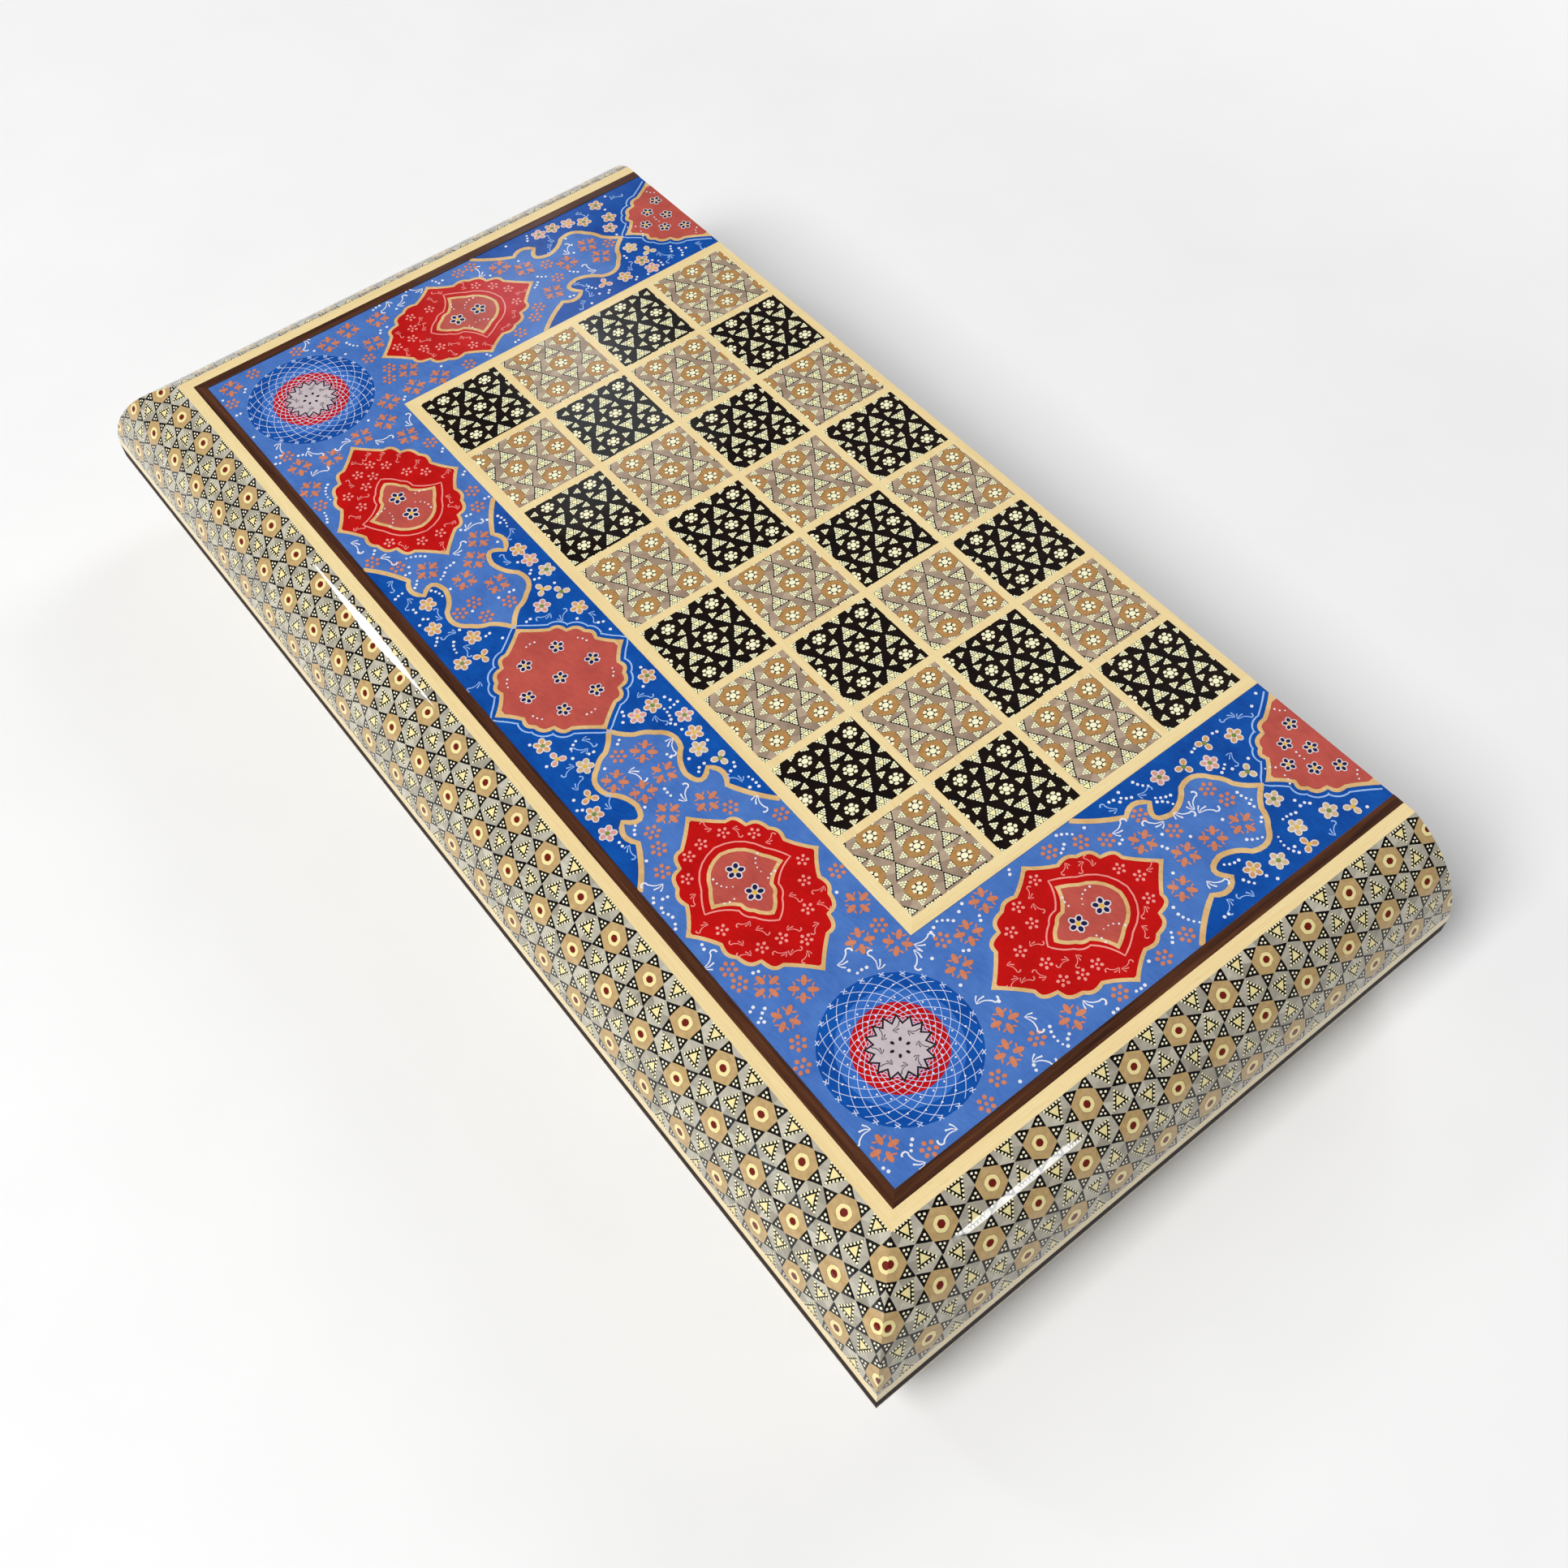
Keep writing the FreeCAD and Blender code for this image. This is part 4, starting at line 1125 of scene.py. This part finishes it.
PAINTS = {
    "cornflower": ((62, 106, 182), (84, 130, 204)), "deep_blue": ((0, 62, 146), (10, 90, 182)),
    "middle_blue": ((44, 98, 184), (62, 120, 204)), "gold": ((206, 160, 96), (240, 206, 150)),
    "red": ((178, 4, 5), (208, 12, 10)), "salmon": ((174, 74, 66), (204, 92, 80)),
    "coral": ((200, 116, 84), (222, 142, 106)), "pink": ((236, 134, 126), (248, 172, 160)),
    "pale_blue": ((136, 176, 236), (176, 206, 246)), "white": ((226, 226, 240), (246, 246, 250)),
    "outline_white": ((214, 204, 206), (240, 232, 226)), "midnight": ((20, 18, 60), (36, 30, 84)),
    "ochre": ((204, 146, 94), (224, 172, 116)), "rose": ((212, 142, 132), (228, 172, 158)),
    "sand": ((206, 176, 130), (226, 200, 160)), "yellow": ((222, 172, 60), (238, 198, 96)),
    "green": ((96, 120, 56), (150, 160, 74)), "ink": ((20, 16, 20), (40, 32, 36)),
    "star_white": ((190, 176, 182), (216, 204, 208)), "lace": ((176, 202, 246), (228, 226, 244)),
}
paints = {colour: paint("paint_" + colour, *shades) for colour, shades in PAINTS.items()}
artwork = paint_border()
for tray, _ in TRAYS:
    for colour, (vertices, faces) in artwork.meshes.items():
        add_piece("painting_" + colour, tray, vertices, faces, paints[colour],
                  "painted_border")

# Camera at the photograph's viewing angle, and a soft studio

CAMERA_PLACE = Vector((0.33205, -0.20759, 0.52695))
CAMERA_RIGHT = Vector((0.61701, 0.78649, -0.02716))
CAMERA_AHEAD = Vector((-0.45499, 0.32836, -0.82775))
LENS_RATIO = 2007.74 / 1932


def add_camera():
    data = bpy.data.cameras.new("camera")
    data.sensor_width = 36
    data.lens = 36 * LENS_RATIO
    data.clip_end = 50
    ahead = CAMERA_AHEAD.normalized()
    right = (CAMERA_RIGHT - ahead * CAMERA_RIGHT.dot(ahead)).normalized()
    turn = Matrix((right, right.cross(ahead), -ahead)).transposed().to_4x4()
    camera = add_object("camera", data)
    camera.matrix_world = Matrix.Translation(CAMERA_PLACE) @ turn
    scene.camera = camera


FLOOR_REACH = 6.0
KEY_FOOT = (0.25, -1.6)
LIT_REACH = 2.0


def add_floor():
    """Pale paper, which stays white to the camera where the key light no longer reaches."""
    corners = [(-1, -1), (1, -1), (1, 1), (-1, 1)]
    material, tree, shader = new_material("floor", roughness=0.9, coat=0.0)
    shader.inputs["Specular IOR Level"].default_value = 0.0
    shader.inputs["Emission Color"].default_value = (1, 1, 1, 1)
    place = object_place(tree)
    feed(shader.inputs["Base Color"],
         mix(noise(place, 0.02), (0.82, 0.82, 0.82, 1), (0.86, 0.86, 0.86, 1)))
    x, y, _ = split(place)
    aside, ahead = x - KEY_FOOT[0] / MM, y - KEY_FOOT[1] / MM
    past_key = ((aside * aside + ahead * ahead).of("SQRT") * MM - LIT_REACH) * 0.35
    seen = source(tree, "LightPath", "Is Camera Ray")
    feed(shader.inputs["Emission Strength"], seen * (past_key.within(0.0, 0.78) + 0.1))
    mesh = new_mesh("floor", [(x * FLOOR_REACH, y * FLOOR_REACH, 0) for x, y in corners],
                    [(0, 1, 2, 3)], material)
    add_object("floor", mesh)


def add_light(name, place, aim, width, height, power):
    data = bpy.data.lights.new(name, "AREA")
    data.shape = "RECTANGLE"
    data.size, data.size_y, data.energy = width, height, power
    lamp = add_object(name, data)
    lamp.location = place
    lamp.rotation_euler = (Vector(aim) - Vector(place)).to_track_quat("-Z", "Y").to_euler()


# Way to each soft window, its radius and its strength
GLOWS = (((-0.67, 0.34, 0.66), 0.10, 2.2), ((-0.74, 0.36, 0.57), 0.09, 2.6),
         ((-0.75, -0.26, 0.60), 0.14, 3.4), ((-0.28, -0.93, 0.24), 0.24, 3.0))


def add_world():
    """Even pale light, with soft windows on one side so that the lacquer shows them."""
    world = bpy.data.worlds.new("studio")
    scene.world = world
    world.use_nodes = True
    tree = world.node_tree
    way = vector_math("NORMALIZE",
                      source(tree, "TexCoord", "Generated"))
    glow = 0.0
    for middle, radius, strength in GLOWS:
        away = vector_math("DISTANCE", way, middle, output="Value")
        glow = (1.0 - away * (1 / radius)).of("MAXIMUM", 0.0) * strength + glow
    glow = glow * ((noise(way, 9.0) - 0.35) * 3.0).within(0.0, 1.0)
    seen = source(tree, "LightPath", "Is Camera Ray")
    sky = tree.nodes["Background"]
    feed(sky.inputs["Strength"], (glow + 0.09) * (1.0 - seen) + seen * 0.9)
    feed(sky.inputs["Color"],
         mix(glow.of("MINIMUM", 1.0) * (1.0 - seen), (1, 1, 1, 1), (0.82, 0.91, 1, 1)))


add_camera()
add_floor()
add_light("key", (0.25, -2.6, 3.2), (0, 0, 0), 1.4, 2.2, 160)
add_light("fill", (-0.9, 2.6, 1.7), (0, 0, 0), 1.6, 1.2, 26)
add_light("side_window", (2.0, 0.55, 0.9), (0.2, 0, 0.05), 0.22, 0.22, 2.2)
add_light("front_window", (-1.35, -1.0, 1.3), (-0.05, -0.1, 0.05), 0.2, 0.2, 3)
add_world()
scene.view_settings.view_transform = "Standard"
